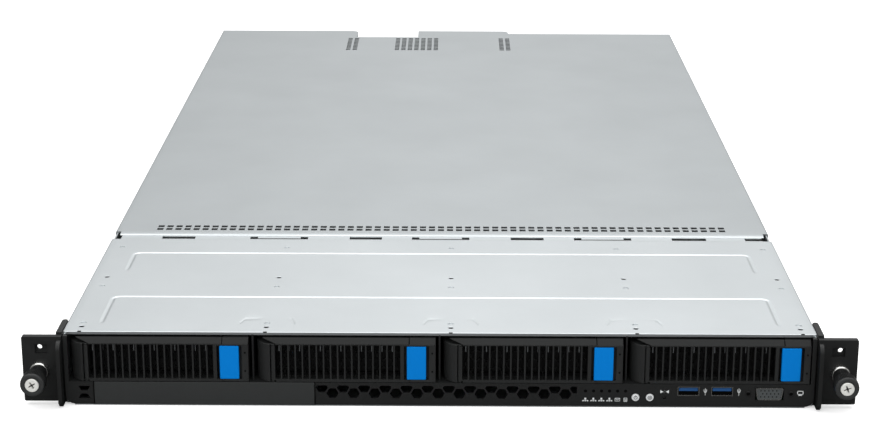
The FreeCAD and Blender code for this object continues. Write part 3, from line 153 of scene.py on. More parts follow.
def moulded_plastic(name, colour, roughness, sheen=0.45):
    """ABS or nylon moulded against a spark-eroded tool: an even fine grain with a soft sheen."""
    made, tree, shader = finish_named(name, colour, IOR=1.53, Specular_IOR_Level=sheen)
    # Eroded grain 0.15 mm, drawn at 0.5 mm
    grained(tree, shader, 0.5 * MM, 1.0, (roughness - 0.05, roughness + 0.07), (0.2, 0.02 * MM))
    return made


def nickel_plate():
    """Bright nickel over steel: silver with turning marks, which are finer than the 0.6 mm drawn here."""
    made, tree, shader = finish_named("nickel_plate", "#D8D8D5", Metallic=1.0)
    grained(tree, shader, 0.6 * MM, 2.0, (0.18, 0.32))
    return made


def cast_aluminium():
    """Die-cast or extruded aluminium: pale grey, slightly sandy, drawn with a grain of 0.7 mm."""
    made, tree, shader = finish_named("cast_aluminium", "#B9BCBE", Metallic=1.0)
    grained(tree, shader, 0.7 * MM, 3.0, (0.4, 0.55), (0.3, 0.03 * MM))
    return made


def solder_mask():
    """Glass-fibre board under green solder mask: glossy, with darker bands where the copper lies."""
    made, tree, shader = finish_named("solder_mask", "#0F4A2A", Roughness=0.3, IOR=1.5)
    place = add(tree, "ShaderNodeTexCoord").outputs["Object"]
    copper = add(tree, "ShaderNodeTexBrick", {
        "Vector": place, "Scale": 1 / (12 * MM),
        "Color1": linear("#0F4A2A"), "Color2": linear("#14532F"), "Mortar": linear("#0B3A20")})
    tree.links.new(copper.outputs["Color"], shader.inputs["Base Color"])
    return made


def plain_finish(name, colour, **sockets):
    """An even finish without a pattern."""
    return finish_named(name, colour, **sockets)[0]


zinc = zinc_plated_sheet("zinc_plated_sheet", "#BCC1C3", "#C8CDCF")
# The front cover is the same zinc plate as the rest, painted lighter: painted light for the brighter
# reflection it shows
zinc_front_lit = zinc_plated_sheet("zinc_plated_sheet_painted_light", "#CED3D5", "#DADFE1")
powder = powder_coat("black_powder_coat", "#1A1B1B")
# The same powder coat, painted lighter on the blanking cover: a painted sheen
powder_painted_sheen = powder_coat("black_powder_coat_painted_sheen", "#2B2D2D")
abs_black = moulded_plastic("moulded_black_abs", "#1F2020", 0.42)
# The slopes over the trays are the same plastic, etched coarser, and painted a shade darker: painted shade
# for the dimmer light on them
abs_matt_shaded = moulded_plastic("matt_black_abs_painted_shade", "#1B1C1C", 0.6, 0.2)
abs_blue = moulded_plastic("moulded_blue_abs", "#006EBC", 0.6, 0.04)
abs_silver = moulded_plastic("silver_lacquered_abs", "#CBCDCE", 0.3)
nickel = nickel_plate()
aluminium = cast_aluminium()
board_green = solder_mask()
knob_nylon = moulded_plastic("black_nylon", "#111212", 0.3)
# The knobs' faces are the same black nylon, painted paler: painted light for the light that falls on them
# from the front
nylon_face_lit = moulded_plastic("black_nylon_painted_light", "#2C2D2D", 0.5, 0.3)
blue_nylon = moulded_plastic("blue_nylon", "#004379", 0.4)
grey_nylon = moulded_plastic("grey_nylon", "#464A4B", 0.4)
screen_ink = plain_finish("grey_screen_ink", "#CDD0D0", Roughness=0.6)
# Zinc flakes baked in a clear binder, half metal and half paint, on the screws' heads
zinc_flake = plain_finish("zinc_flake_coat", "#E8E8E3", Metallic=0.4, Roughness=0.5)
# Painted shade: the same coat down in the recess, drawn darker because little light reaches it
recess_flake_shaded = plain_finish("zinc_flake_painted_shade_in_recess", "#4A4947", Metallic=0.2, Roughness=0.7)
# The drives' castings, painted near black: painted shade for the dark they sit in, seen only through the
# grilles
drive_black_shade = plain_finish("drives_painted_shade_black", "#0C0C0D", Roughness=0.5)
# Painted shade: a near-black finish laid in bores, holes, slots and gaps, where almost no light reaches
painted_shade_black = plain_finish("near_black_painted_shade", "#030303", Roughness=0.9, Specular_IOR_Level=0.1)
# Flash gold over nickel on the sockets' contacts
gold_contacts = plain_finish("flash_gold", "#D9B25C", Metallic=1.0, Roughness=0.25)


def numbered(stem, count):
    """The names stem_1 to stem_count."""
    return [f"{stem}_{number}" for number in range(1, count + 1)]


TRAYS = 4
FINISHES = {
    zinc_front_lit: ["front_cover"],
    zinc: ["chassis_base", "rear_panel", "top_cover", "fan_wall", "slot_covers", "supply_cage",
           *numbered("supply", 2), "rail_studs"],
    powder_painted_sheen: ["blanking_cover"],
    powder: ["front_panel", "rack_ears", "drive_cage"],
    abs_black: [*numbered("tray", TRAYS), *numbered("lever", TRAYS), "fan_frames", *numbered("impeller", 6),
                *numbered("supply_impeller", 2), "air_duct", "reset_button", "left_knob", "right_knob"],
    abs_blue: [*numbered("latch", TRAYS), *numbered("supply_latch", 2)],
    abs_silver: ["power_button", "locate_button"],
    nickel: ["thumbscrew_ferrules", "left_screw", "right_screw", "front_usb_ports", "front_video_port",
             "rear_ports"],
    aluminium: ["heat_sink"],
    drive_black_shade: numbered("drive", TRAYS),
    board_green: ["control_board", "backplane", "motherboard", "memory_modules", "riser_cards"],
}
for material, names in FINISHES.items():
    for name in names:
        nodes[name].data.materials.clear()
        nodes[name].data.materials.append(material)


# Shapes are pairs of points in millimetres and faces; piece() turns them to metres


def grid(columns, rows, closed=False):
    """Quads over points laid row by row; closed joins each row's last column to its first."""
    column, row = np.meshgrid(np.arange(columns if closed else columns - 1), np.arange(rows - 1))
    after, here, above = (column + 1) % columns, row * columns, (row + 1) * columns
    return np.stack((here + column, here + after, above + after, above + column), -1).reshape(-1, 4)


def together(shapes):
    """Several shapes as one."""
    points, faces, start = [], [], 0
    for some_points, some_faces in shapes:
        points.append(np.reshape(some_points, (-1, 3)))
        faces += [[start + corner for corner in face] for face in np.asarray(some_faces, object).tolist()]
        start += len(points[-1])
    return np.concatenate(points), faces


def piece(name, shapes, finish, body="chassis", stands_for=(), soften=0.0, wall=0.0, smooth=40):
    """A piece of one finish, with its edges rounded or its sheet thickened where asked."""
    points, faces = together(shapes)
    mesh = bpy.data.meshes.new(name)
    mesh.from_pydata((points * MM).tolist(), [], faces)
    mesh.materials.append(finish)
    return dressed(name, mesh, body, stands_for, soften, wall, smooth)


def dressed(name, mesh, body, stands_for, soften, wall, smooth):
    """Put a mesh in the scene as a piece that rides on a body and may stand for CAD nodes."""
    mesh.shade_smooth()
    mesh.set_sharp_from_angle(angle=math.radians(smooth))
    # An open sheet's rim stays crisp once the sheet is thickened
    uses = np.empty(len(mesh.loops), int)
    sharp = np.empty(len(mesh.edges), bool)
    mesh.loops.foreach_get("edge_index", uses)
    mesh.edges.foreach_get("use_edge_sharp", sharp)
    mesh.edges.foreach_set("use_edge_sharp", sharp | (np.bincount(uses, minlength=len(sharp)) == 1))
    thing = bpy.data.objects.new(name, mesh)
    bpy.context.scene.collection.objects.link(thing)
    if wall:
        solid = thing.modifiers.new("sheet_thickness", "SOLIDIFY")
        solid.thickness, solid.offset = wall * MM, -1
    if soften:
        bevel = thing.modifiers.new("broken_edges", "BEVEL")
        bevel.width, bevel.segments, bevel.limit_method = soften * MM, 2, "ANGLE"
        bevel.angle_limit = math.radians(35)
    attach(thing, body)
    if stands_for:
        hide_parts(*stands_for)
    return thing


def softened(node, radius, finish):
    """A CAD node's own shape, merged to whole faces and given broken edges."""
    work = bmesh.new()
    work.from_mesh(nodes[node].data)
    bmesh.ops.remove_doubles(work, verts=work.verts, dist=0.001 * MM)
    bmesh.ops.dissolve_limit(work, angle_limit=math.radians(1), verts=work.verts, edges=work.edges)
    mesh = bpy.data.meshes.new(f"{node}_softened")
    work.to_mesh(mesh)
    work.free()
    mesh.materials.clear()
    mesh.materials.append(finish)
    return dressed(f"{node}_softened", mesh, nodes[node]["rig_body"], (node,), radius, 0, 30)


def boxes(*limits):
    """Boxes between limits x0, x1, y0, y1, z0, z1."""
    limits = np.reshape(limits, (-1, 3, 2))
    ends = np.array([(i, j, k) for i in (0, 1) for j in (0, 1) for k in (0, 1)])
    points = np.stack([limits[:, axis, ends[:, axis]] for axis in range(3)], -1)
    sides = np.array([(0, 1, 3, 2), (4, 6, 7, 5), (0, 4, 5, 1), (2, 3, 7, 6), (0, 2, 6, 4), (1, 5, 7, 3)])
    return points, (np.arange(len(limits))[:, None, None] * 8 + sides).reshape(-1, 4)


def turned(profile, centre, sides=32, ridges=0, ends=(True, True)):
    """A shape turned about an axis along Y: (radius, y, depth of its ridges) carried round the axis.

    At angle a the radius is less by depth · (1 - cos(ridges · a)) / 2. The centre gives z and x.
    """
    radius, along, depth = np.array([(*row, 0)[:3] for row in profile], float).T[:, :, None]
    angle = np.linspace(0, math.tau, sides, endpoint=False)
    reach = radius - depth * (1 - np.cos(ridges * angle)) / 2
    x, z = centre[1] + reach * np.sin(angle), centre[0] + reach * np.cos(angle)
    points = np.stack(np.broadcast_arrays(x, along, z), -1)
    faces = grid(sides, len(profile), closed=True).tolist()
    if ends[0]:
        faces.append(list(range(sides))[::-1])
    if ends[1]:
        faces.append(list(range(sides * (len(profile) - 1), sides * len(profile))))
    return points, faces


def slab(outline, low, high, axis="y"):
    """A flat outline, anticlockwise as seen from the front or the top, carried along Y or Z."""
    outline = np.array(outline, float)
    count = len(outline)
    along = np.repeat((low, high), count)
    first, second = np.tile(outline, (2, 1)).T
    points = np.stack((first, along, second) if axis == "y" else (first, second, along), -1)
    faces = [*grid(count, 2, closed=True).tolist(), list(range(count))[::-1], list(range(count, 2 * count))]
    return points, [face[::-1] for face in faces] if axis == "y" else faces


def circle(x, z, radius, sides=16):
    """The outline of a circle."""
    angle = np.linspace(0, math.tau, sides, endpoint=False)
    return np.stack((x + radius * np.cos(angle), z + radius * np.sin(angle)), -1)


def rounded(corners, reach, steps=5):
    """A line through corners, each one rounded by (1 - t)² a + 2 t (1 - t) corner + t² b.

    Here a and b lie at the given reach before and after the corner.
    """
    corners = np.array(corners, float)
    t = np.linspace(0, 1, steps)[:, None]
    line = [corners[:1]]
    for before, corner, after in zip(corners, corners[1:], corners[2:]):
        a = corner + (before - corner) / np.linalg.norm(before - corner) * reach
        b = corner + (after - corner) / np.linalg.norm(after - corner) * reach
        line.append((1 - t) ** 2 * a + 2 * t * (1 - t) * corner + t ** 2 * b)
    return np.concatenate((*line, corners[-1:]))


def strokes(lines, place, width, front, thick=0.03):
    """Thin lines: each stretch is a strip of the given width, in front of a face, for print, for webs and
    for painted shade and highlights.
    """
    ends = np.concatenate([np.stack((line[:-1], line[1:]), 1) for line in map(np.array, lines)]) + place
    way = ends[:, 1] - ends[:, 0]
    way /= np.linalg.norm(way, axis=1, keepdims=True)
    aside = np.stack((-way[:, 1], way[:, 0]), -1) * width / 2
    reach = way * width / 2
    near, far = ends[:, 0] - reach, ends[:, 1] + reach
    outlines = np.stack((near - aside, far - aside, far + aside, near + aside), 1)
    return [slab(outline, front - thick, front) for outline in outlines]


def smoothstep(value):
    """0 below 0, 1 above 1 and t² (3 - 2 t) between."""
    value = np.clip(value, 0, 1)
    return value * value * (3 - 2 * value)


def groove(value):
    """cos² (value · π / 2), which is 1 at 0 and stays 0 from 1 on."""
    return np.cos(np.clip(value, 0, 1) * math.pi / 2) ** 2


def level(places):
    """Places along a flat stretch, each with no drop."""
    return np.stack((places, np.zeros(len(places))), -1)


def folded_sheet(across, along, top, dents, kept):
    """A sheet bent from a grid: across holds (x, drop) of each column and along (y, drop) of each row.

    A point lies at x, y and top less both drops and the dents there. kept says from the middles and
    drops of the cells which of them are there.
    """
    (x, drop_x), (y, drop_y) = np.array(across).T, np.array(along).T
    wide, deep = np.meshgrid(x, y)
    points = np.stack((wide, deep, top - drop_x - drop_y[:, None] - dents(wide, deep)), -1).reshape(-1, 3)
    middles = [(values[1:] + values[:-1]) / 2 for values in (x, drop_x, y, drop_y)]
    cells_x, cells_y = np.meshgrid(middles[0], middles[2])
    cells_drop_x, cells_drop_y = np.meshgrid(middles[1], middles[3])
    faces = grid(len(x), len(y))[kept(cells_x, cells_y, cells_drop_x, cells_drop_y).ravel()]
    used, places = np.unique(faces, return_inverse=True)
    return points[used], places.reshape(-1, 4)


def dimple(x, y, top, reach, profile, floor=True):
    """A round dent in a square of sheet: rings of (radius, depth), the first spread to the square.

    The square's ring is reach · (cos a, sin a) / max(|cos a|, |sin a|).
    """
    sides = 24
    angle = np.linspace(0, math.tau, sides, endpoint=False)
    ring = np.stack((np.cos(angle), np.sin(angle)), -1)
    radius, depth = np.array(profile, float).T
    square = reach * ring / np.abs(ring).max(1, keepdims=True)
    flat = np.concatenate((square[None], radius[:, None, None] * ring))
    height = np.broadcast_to(top - np.concatenate(((0.0,), depth))[:, None], flat.shape[:2])
    points = np.concatenate((flat + (x, y), height[..., None]), -1)
    faces = grid(sides, len(flat), closed=True).tolist()
    if floor:
        faces.append(list(range(sides * (len(flat) - 1), sides * len(flat))))
    return points, faces


def cells_between(middles, limits):
    """Which middles lie inside any of the (low, high) limits."""
    return np.any([(low < middles) & (middles < high) for low, high in limits], axis=0)


def lines_of(*groups):
    """All the given places in order, each once to a hundredth of a millimetre."""
    return np.unique(np.round(np.concatenate([np.ravel(group) for group in groups]), 2))


# The covers, in millimetres from the middle of the front face
TOP = cad_box[1][2] / MM
HALF = 219.5
SHEET = 0.8
FLANGE = 10.8
FLANGE_BEND = 1.2
RIVET_COLUMNS = np.array((-209.7, -101.6, 6.5, 114.7, 210.9))
RIVET_ROWS = (159.5, 82.0, 16.7)
HOLE_ROWS = (99.5, 10.3)
# Each bead's line and where its legs end
BEADS = ((147.5, 111.0), (62.3, 14.7))
BEAD_HALF, BEAD_CORNER, BEAD_REACH, BEAD_DEPTH = 199.2, 4.5, 1.7, 0.45
BRACKET_HALF, BRACKET_LINE = 13.5, 24.5
FLANGE_FRONT, FLANGE_BACK = 24, 177
LIP_FRONT, LIP_DEPTH, LIP_HALF = 1.6, 1.75, 217.3
NICK_HALF, NICK_BACK = 1.1, 2.7
SEAM_SLOTS = ((-186.7, -164.6), (-61.4, -39.8), (46.2, 68.1), (153.7, 176.5), (202.4, 214.0))
TAB_SLOTS = ((-127.8, -89.2), (-19.8, 18.6), (88.4, 126.6))
TAB_END = 5.0
SEAM_FRONT, SEAM_BACK, SEAM_DROP, SEAM_HALF = 177.4, 178.3, 1.0, 214
SLOT_FRONT, SLIT_BACK, SLOT_BACK, TONGUE_BACK = 181.0, 182.6, 186.0, 194.0


def side_bends(flats):
    """The columns of a cover: down one flange, over its bend, the flat places and down the other side."""
    bend = rounded([(-HALF, FLANGE), (-HALF, 0), (-HALF + 3, 0)], FLANGE_BEND, 6)[:-1]
    return np.concatenate((bend, level(flats), bend[::-1] * (-1, 1)))


def pressed_depth(x, y):
    """Depth of the pressed lines: a groove by the distance to each U-shaped bead, its legs fading out.

    The distance is to a rectangle with rounded corners, open to the front. Around each of the three
    middle front rivets runs a fainter line, whose ends turn steeply forward.
    """
    depth = np.zeros_like(x)
    for line, leg in BEADS:
        across, beyond = np.abs(x) - (BEAD_HALF - BEAD_CORNER), y - (line - BEAD_CORNER)
        outside = np.hypot(np.maximum(across, 0), np.maximum(beyond, 0))
        inside = np.minimum(np.maximum(across, beyond), 0)
        away = np.abs(outside + inside - BEAD_CORNER)
        depth += BEAD_DEPTH * groove(away / BEAD_REACH) * smoothstep((y - leg) / 6)
    for column in RIVET_COLUMNS[1:4]:
        beside, behind = np.abs(x - column), y - BRACKET_LINE
        end = np.abs(behind + (beside - BRACKET_HALF) * 3) * 0.32
        away = np.where(beside < BRACKET_HALF, np.abs(behind), end)
        depth += np.where(beside < 13, 0.04, 0.3) * groove(away) * (beside < 16.1)
    return depth


def front_cover():
    """The fixed cover: a front lip, two beads, rivets and holes in columns, and the dropped seam."""
    reach = 3.0
    patches = [(x, y) for x in RIVET_COLUMNS for y in RIVET_ROWS + HOLE_ROWS]
    edges = np.array(patches)[:, :, None] + (-reach, reach)
    nicks = np.stack((RIVET_COLUMNS - NICK_HALF, RIVET_COLUMNS + NICK_HALF), -1)
    tab_ends = [ends for a, b in TAB_SLOTS for ends in ((a, a + TAB_END), (b - TAB_END, b))]
    # Columns and rows lie close together where the pressed lines bend the sheet
    both = np.array((-1, 1))[:, None]
    flats = lines_of(np.arange(-210, 211, 15), (-SEAM_HALF, SEAM_HALF), edges[:, 0], nicks, SEAM_SLOTS,
                     tab_ends, both * np.arange(189, 204, 0.5),
                     RIVET_COLUMNS[1:4, None, None] + both * np.arange(BRACKET_HALF, 17.5, 0.5))
    flats = flats[np.abs(flats) < HALF - 2]
    rows = lines_of(np.arange(8, 175, 9), edges[:, 1], (NICK_BACK, FLANGE_FRONT), np.arange(14.5, 28, 0.75),
                    [line + np.arange(-9, 3.5, 0.5) for line, leg in BEADS],
                    [leg + np.arange(0, 9, 2) for line, leg in BEADS])
    front = rounded([(LIP_FRONT, LIP_DEPTH), (LIP_FRONT, 0), (4, 0)], 0.35, 6)[:-1]
    seam = rounded([(175, 0), (SEAM_FRONT, 0), (SEAM_BACK, SEAM_DROP), (TONGUE_BACK, SEAM_DROP)], 0.5, 4)
    tongue = [(y, SEAM_DROP) for y in (SLOT_FRONT, SLIT_BACK, SLOT_BACK, TONGUE_BACK)]
    along = np.concatenate((front, level(rows[rows > 2]), seam[:-1], tongue))

    def kept(x, y, drop_x, drop_y):
        """Where there is sheet."""
        there = np.where(drop_x > FLANGE_BEND, (y > FLANGE_FRONT) & (y < FLANGE_BACK), True)
        there &= ~((drop_y > 0) & ((drop_x > 0) | (np.abs(x) > LIP_HALF)))
        there &= (y < SEAM_BACK) | (np.abs(x) < SEAM_HALF)
        cut = cells_between(x, (*SEAM_SLOTS, *tab_ends)) & (y > SLOT_FRONT) & (y < SLOT_BACK)
        cut |= cells_between(x, TAB_SLOTS) & (y > SLOT_FRONT) & (y < SLIT_BACK)
        cut |= cells_between(x, nicks) & (y < NICK_BACK) & (drop_y < 0.3)
        for place_x, place_y in patches:
            cut |= (np.abs(x - place_x) < reach) & (np.abs(y - place_y) < reach)
        return there & ~cut

    sheet = folded_sheet(side_bends(flats), along, TOP, pressed_depth, kept)
    rivet = [(2.0, 0.0), (1.9, 0.0), (1.82, 0.05), (1.76, 0.45), (1.3, 0.5), (1.0, 0.42), (0.5, 0.4)]
    hole = [(1.85, 0.0), (1.75, 0.0), (1.6, 0.08), (1.5, 0.3), (1.5, 0.8)]
    dents = [dimple(x, y, TOP, reach, hole if y in HOLE_ROWS else rivet, floor=y not in HOLE_ROWS)
             for x, y in patches]
    shade = [slab(circle(x, y, 1.5), TOP - 0.5, TOP - 0.4, "z") for x in RIVET_COLUMNS for y in HOLE_ROWS]
    shade += [boxes((*nick, LIP_FRONT + 0.1, NICK_BACK, TOP - 0.7, TOP - 0.1)) for nick in nicks]
    shade += [boxes((a + 4.9, b - 4.9, SLOT_FRONT - 0.3, SLIT_BACK + 0.3, TOP - 1.25, TOP - 1.07))
              for a, b in TAB_SLOTS]
    piece("cover_hole_shade", shade, painted_shade_black)
    # Painted light: the front cover's sheet is drawn in the lighter copy of the zinc
    return piece("front_cover_sheet", [sheet, *dents], zinc_front_lit, stands_for=("front_cover",), wall=SHEET)


VENT, VENT_PITCH = 4.1, 6.12
HOOD_BACK, EDGE_BACK, NOTCH_BACK, HOOD_CORNER = 847.5, 836.0, 819.0, 6
# Where the back edge steps: the left hood's end, and the right hood's start and end
HOOD_STEPS = (-86, -27, 61)
ROLL_FRONT, ROLL_DEEP, ROLL_DROP, ROLL_BACK, ROLL_HALF = 187.6, 5.4, 0.95, 193.2, 215.6


def sliding_cover():
    """The long cover: a rolled front lip, square vents in rows and blocks, and its stepped back edge."""
    def vents(first, count):
        """The two edges of each vent in a row."""
        return [(first + VENT_PITCH * i, first + VENT_PITCH * i + VENT) for i in range(count)]

    left, notch, right = HOOD_STEPS
    fields = [(vents(-192.3, 63), vents(197.2, 2)), (vents(-94.0, 2), vents(761.0, 9)),
              (vents(-48.0, 7), vents(761.0, 9)), (vents(51.2, 2), vents(761.0, 9))]
    corner_starts = (left - HOOD_CORNER, right - HOOD_CORNER)
    flats = lines_of(np.arange(-210, 211, 30), (-ROLL_HALF, ROLL_HALF), HOOD_STEPS, corner_starts,
                     *[columns for columns, lines in fields])
    rows = lines_of(np.arange(215, 755, 30), (ROLL_BACK, NOTCH_BACK, EDGE_BACK),
                    (HOOD_BACK - HOOD_CORNER, HOOD_BACK), *[lines for columns, lines in fields])
    turn = np.linspace(0, math.pi / 2, 9)[:-1]
    roll = np.stack((ROLL_FRONT + ROLL_DEEP * (1 - np.cos(turn)), ROLL_DROP * (1 - np.sin(turn))), -1)
    corner_cells = [(start, start + HOOD_CORNER) for start in corner_starts]

    def kept(x, y, drop_x, drop_y):
        """Where there is sheet."""
        back = np.select([x < left, x < notch, x < right], [HOOD_BACK, NOTCH_BACK, HOOD_BACK], EDGE_BACK)
        there = (y < back) & ((y > ROLL_BACK) | (np.abs(x) < ROLL_HALF))
        there &= ~((drop_x > FLANGE_BEND) & (y > EDGE_BACK))
        there &= ~(cells_between(x, corner_cells) & (y > HOOD_BACK - HOOD_CORNER))
        for columns, lines in fields:
            there &= ~(cells_between(x, columns) & cells_between(y, lines))
        return there

    sheet = folded_sheet(side_bends(flats), np.concatenate((roll, level(rows))), TOP,
                         lambda x, y: np.zeros_like(x), kept)
    turn = np.linspace(0, math.pi / 2, 8)
    corners = []
    for start in corner_starts:
        middle = (start, HOOD_BACK - HOOD_CORNER)
        arc = np.stack((middle[0] + HOOD_CORNER * np.cos(turn), middle[1] + HOOD_CORNER * np.sin(turn),
                        np.full(8, TOP)), -1)
        corners.append((np.concatenate(([(*middle, TOP)], arc)), [list(range(9))]))
    return piece("sliding_cover_sheet", [sheet, *corners], zinc, "sliding_cover", ("top_cover",), wall=SHEET)


# The captive screws, in millimetres
THUMB_ACROSS, THUMB_UP, THUMB_FRONT = 232.55, 21.9, -28.6
HEAD_RADIUS, RECESS_DEPTH, RIM_DROP = 3.95, 1.4, 0.35


def cross_recess_head(x, front, turn):
    """A screw's head: a square grid spread to a disc, sunk by two crossed arms that taper to their ends.

    The disc is u · sqrt(1 - v² / 2), v · sqrt(1 - u² / 2); its rim drops over the outer tenth.
    """
    count = 45
    u, v = np.meshgrid(np.linspace(-1, 1, count), np.linspace(-1, 1, count))
    across, up = HEAD_RADIUS * u * np.sqrt(1 - v ** 2 / 2), HEAD_RADIUS * v * np.sqrt(1 - u ** 2 / 2)
    p = across * math.cos(turn) + up * math.sin(turn)
    q = up * math.cos(turn) - across * math.sin(turn)
    near, far = np.minimum(np.abs(p), np.abs(q)), np.maximum(np.abs(p), np.abs(q))
    arms = smoothstep((0.62 - 0.12 * far - near) / 0.2) * smoothstep((2.3 - far) / 0.4)
    rim = smoothstep((np.hypot(across, up) / HEAD_RADIUS - 0.9) / 0.1)
    points = np.stack((x + across, front + RECESS_DEPTH * arms + RIM_DROP * rim, THUMB_UP + up), -1)
    centre, shank = (THUMB_UP, x), front + 19
    return [(points, grid(count, count)),
            turned([(HEAD_RADIUS, front + RIM_DROP), (HEAD_RADIUS, shank)], centre, ends=(False, True)),
            turned([(2.45, shank), (2.45, 0.2), (2.95, 0.2), (2.95, 8.4), (2.4, 9.0)], centre)]


def thumbscrews():
    """Each captive screw, its knurled knob with its face painted paler for the light from the front, and the
    ferrule in the ear.
    """
    ferrules = []
    for side, sign, turn in (("left", -1, math.radians(30)), ("right", 1, math.radians(20))):
        x, centre = THUMB_ACROSS * sign, (THUMB_UP, THUMB_ACROSS * sign)
        body = f"{side}_thumbscrew"
        head = cross_recess_head(x, THUMB_FRONT, turn)
        piece(f"{side}_screw_turned", head, zinc_flake, body, (f"{side}_screw",))
        front, back = THUMB_FRONT + 0.3, THUMB_FRONT + 9.4
        knob = turned([(7.05, front + 1.2, 0.4), (7.05, back - 0.6, 0.4), (6.7, back, 0.1), (4.9, back),
                       (4.9, -8.4), (4.6, -8.3)], centre, sides=192, ridges=48)
        piece(f"{side}_knob_knurled", [knob], knob_nylon, body, (f"{side}_knob",), smooth=60)
        # The knob's face, painted paler as painted light
        face = turned([(4.05, front + 1.1), (4.15, front + 0.4), (4.5, front), (6.3, front),
                       (6.85, front + 0.6, 0.1), (7.0, front + 1.2, 0.35)], centre, sides=192, ridges=48)
        piece(f"{side}_knob_face", [face], nylon_face_lit, body, smooth=60)
        arms = 1.9 * np.array([(math.cos(turn), math.sin(turn)), (-math.sin(turn), math.cos(turn))])
        # A darker cross laid on the recess floor: painted shade
        floor = strokes([(-arm, arm) for arm in arms], (x, THUMB_UP), 0.8, THUMB_FRONT + 0.75)
        piece(f"{side}_screw_recess_shade", floor, recess_flake_shaded, body)
        ferrules.append(turned([(2.55, -8.0), (4.9, -8.0), (5.1, -7.9), (5.62, -6.9), (5.7, -6.6),
                                (5.7, -4.0), (4.7, -4.0), (4.7, 0.0), (2.55, 0.0)], centre, sides=48))
    piece("ferrules_turned", ferrules, nickel, stands_for=("thumbscrew_ferrules",))


# The front of the strip under the trays, and of the trays
FACE = -3.6
INK = 0.03


def icon(*lines):
    """Polylines of an icon, from lists of points in tenths of a millimetre."""
    return [np.array(line, float) / 10 for line in lines]


def filled(x0, x1, z0, z1):
    """A filled block of ink on the strip."""
    return slab([(x0, z0), (x1, z0), (x1, z1), (x0, z1)], FACE - INK, FACE)


RING = np.stack((np.cos(np.linspace(0, math.tau, 17)), np.sin(np.linspace(0, math.tau, 17))), -1)
ENVELOPE = icon([(-14, -8), (14, -8), (14, 10), (-14, 10), (-14, -8)], [(-14, 10), (0, -1), (14, 10)])
DRIVE = icon([(-9, -11), (9, -11), (9, 11), (-9, 11), (-9, -11)], [RING[0] * 5, RING[8] * 5],
             [(-4, -6), (4, -6)])
SOCKET = icon([(0, -20), (0, 20)], [(-8, 4), (8, 4)], [(-8, 4), (-8, 14)], [(8, 4), (8, 14)],
              [(-8, 4), (0, -8), (8, 4)])
MONITOR = icon([(-16, -6), (16, -6), (16, 14), (-16, 14), (-16, -6)], [(-8, -12), (8, -12)])
NETWORK = icon([(0, 0), (0, -4)], [(-13, -3), (13, -3)])


def strip_marks():
    """Painted shade in the light-pipe holes of the strip under the trays, the symbols by them, and painted
    shade in the open seams on each side of the blank.
    """
    first, pitch, up, low = 85.2, 4.68, 10.17, 4.7
    # Near-black discs in the light-pipe holes: painted shade
    bore_shade = [slab(circle(first + pitch * i, up, 0.95), FACE - 0.02, FACE) for i in range(6)]
    piece("strip_bore_shade", bore_shade, painted_shade_black)
    printed = []
    for i in range(4):
        x = first + pitch * i
        printed.append(filled(x - 0.5, x + 0.5, low + 0.1, low + 1.2))
        printed += [filled(x + shift - 0.42, x + shift + 0.42, low - 1.0, low - 0.3)
                    for shift in (-1.3, 0, 1.3)]
        printed += strokes(NETWORK, (x, low), 0.22, FACE)
    printed += strokes(ENVELOPE, (first + pitch * 4, low), 0.3, FACE)
    printed += strokes(DRIVE, (first + pitch * 5, low), 0.3, FACE)
    reset, reset_up = 131.3, 9.9
    for side in (-1, 1):
        tip, base = reset + side * 0.7, reset + side * 2.5
        arrow = [(tip, reset_up), (base, reset_up - 1), (base, reset_up + 1)][::side]
        printed.append(slab(arrow, FACE - INK, FACE))
    printed += strokes([RING * (0.35, 0.8)], (reset, reset_up), 0.25, FACE)
    for x in (154.8, 174.4):
        printed += strokes(SOCKET, (x + 0.2, reset_up), 0.3, FACE)
    printed += strokes(MONITOR, (210.4, 9.2), 0.45, FACE)
    piece("strip_symbols", printed, screen_ink)
    low, high = np.array(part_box("blanking_cover")) / MM
    # Near-black strips in the seams at each side of the blank: painted shade
    gap_shade = [boxes((x, x + 0.6, low[1] + 0.1, FACE + 0.5, low[2], high[2])) for x in (low[0] - 0.6, high[0])]
    piece("blanking_cover_gap_shade", gap_shade, painted_shade_black)


def push_buttons():
    """The two silver buttons, slightly domed, each with its symbol."""
    switch_on = [RING * 0.95, np.array([(0, 0.2), (0, 1.3)])]
    beacon = [RING * 1.1, RING * 0.45]
    up = 6.18
    for name, x, picture in (("power_button", 114.5, switch_on), ("locate_button", 122.8, beacon)):
        cap = turned([(1.0, FACE - 0.3), (1.9, FACE - 0.27), (2.2, FACE - 0.1), (2.3, FACE + 0.3),
                      (2.3, -1.4), (3.1, -1.4), (3.1, 3.5)], (up, x), sides=40)
        piece(f"{name}_cap", [cap], abs_silver, name, (name,), smooth=50)
        piece(f"{name}_symbol", strokes(picture, (x, up), 0.3, FACE - 0.28), grey_nylon, name)


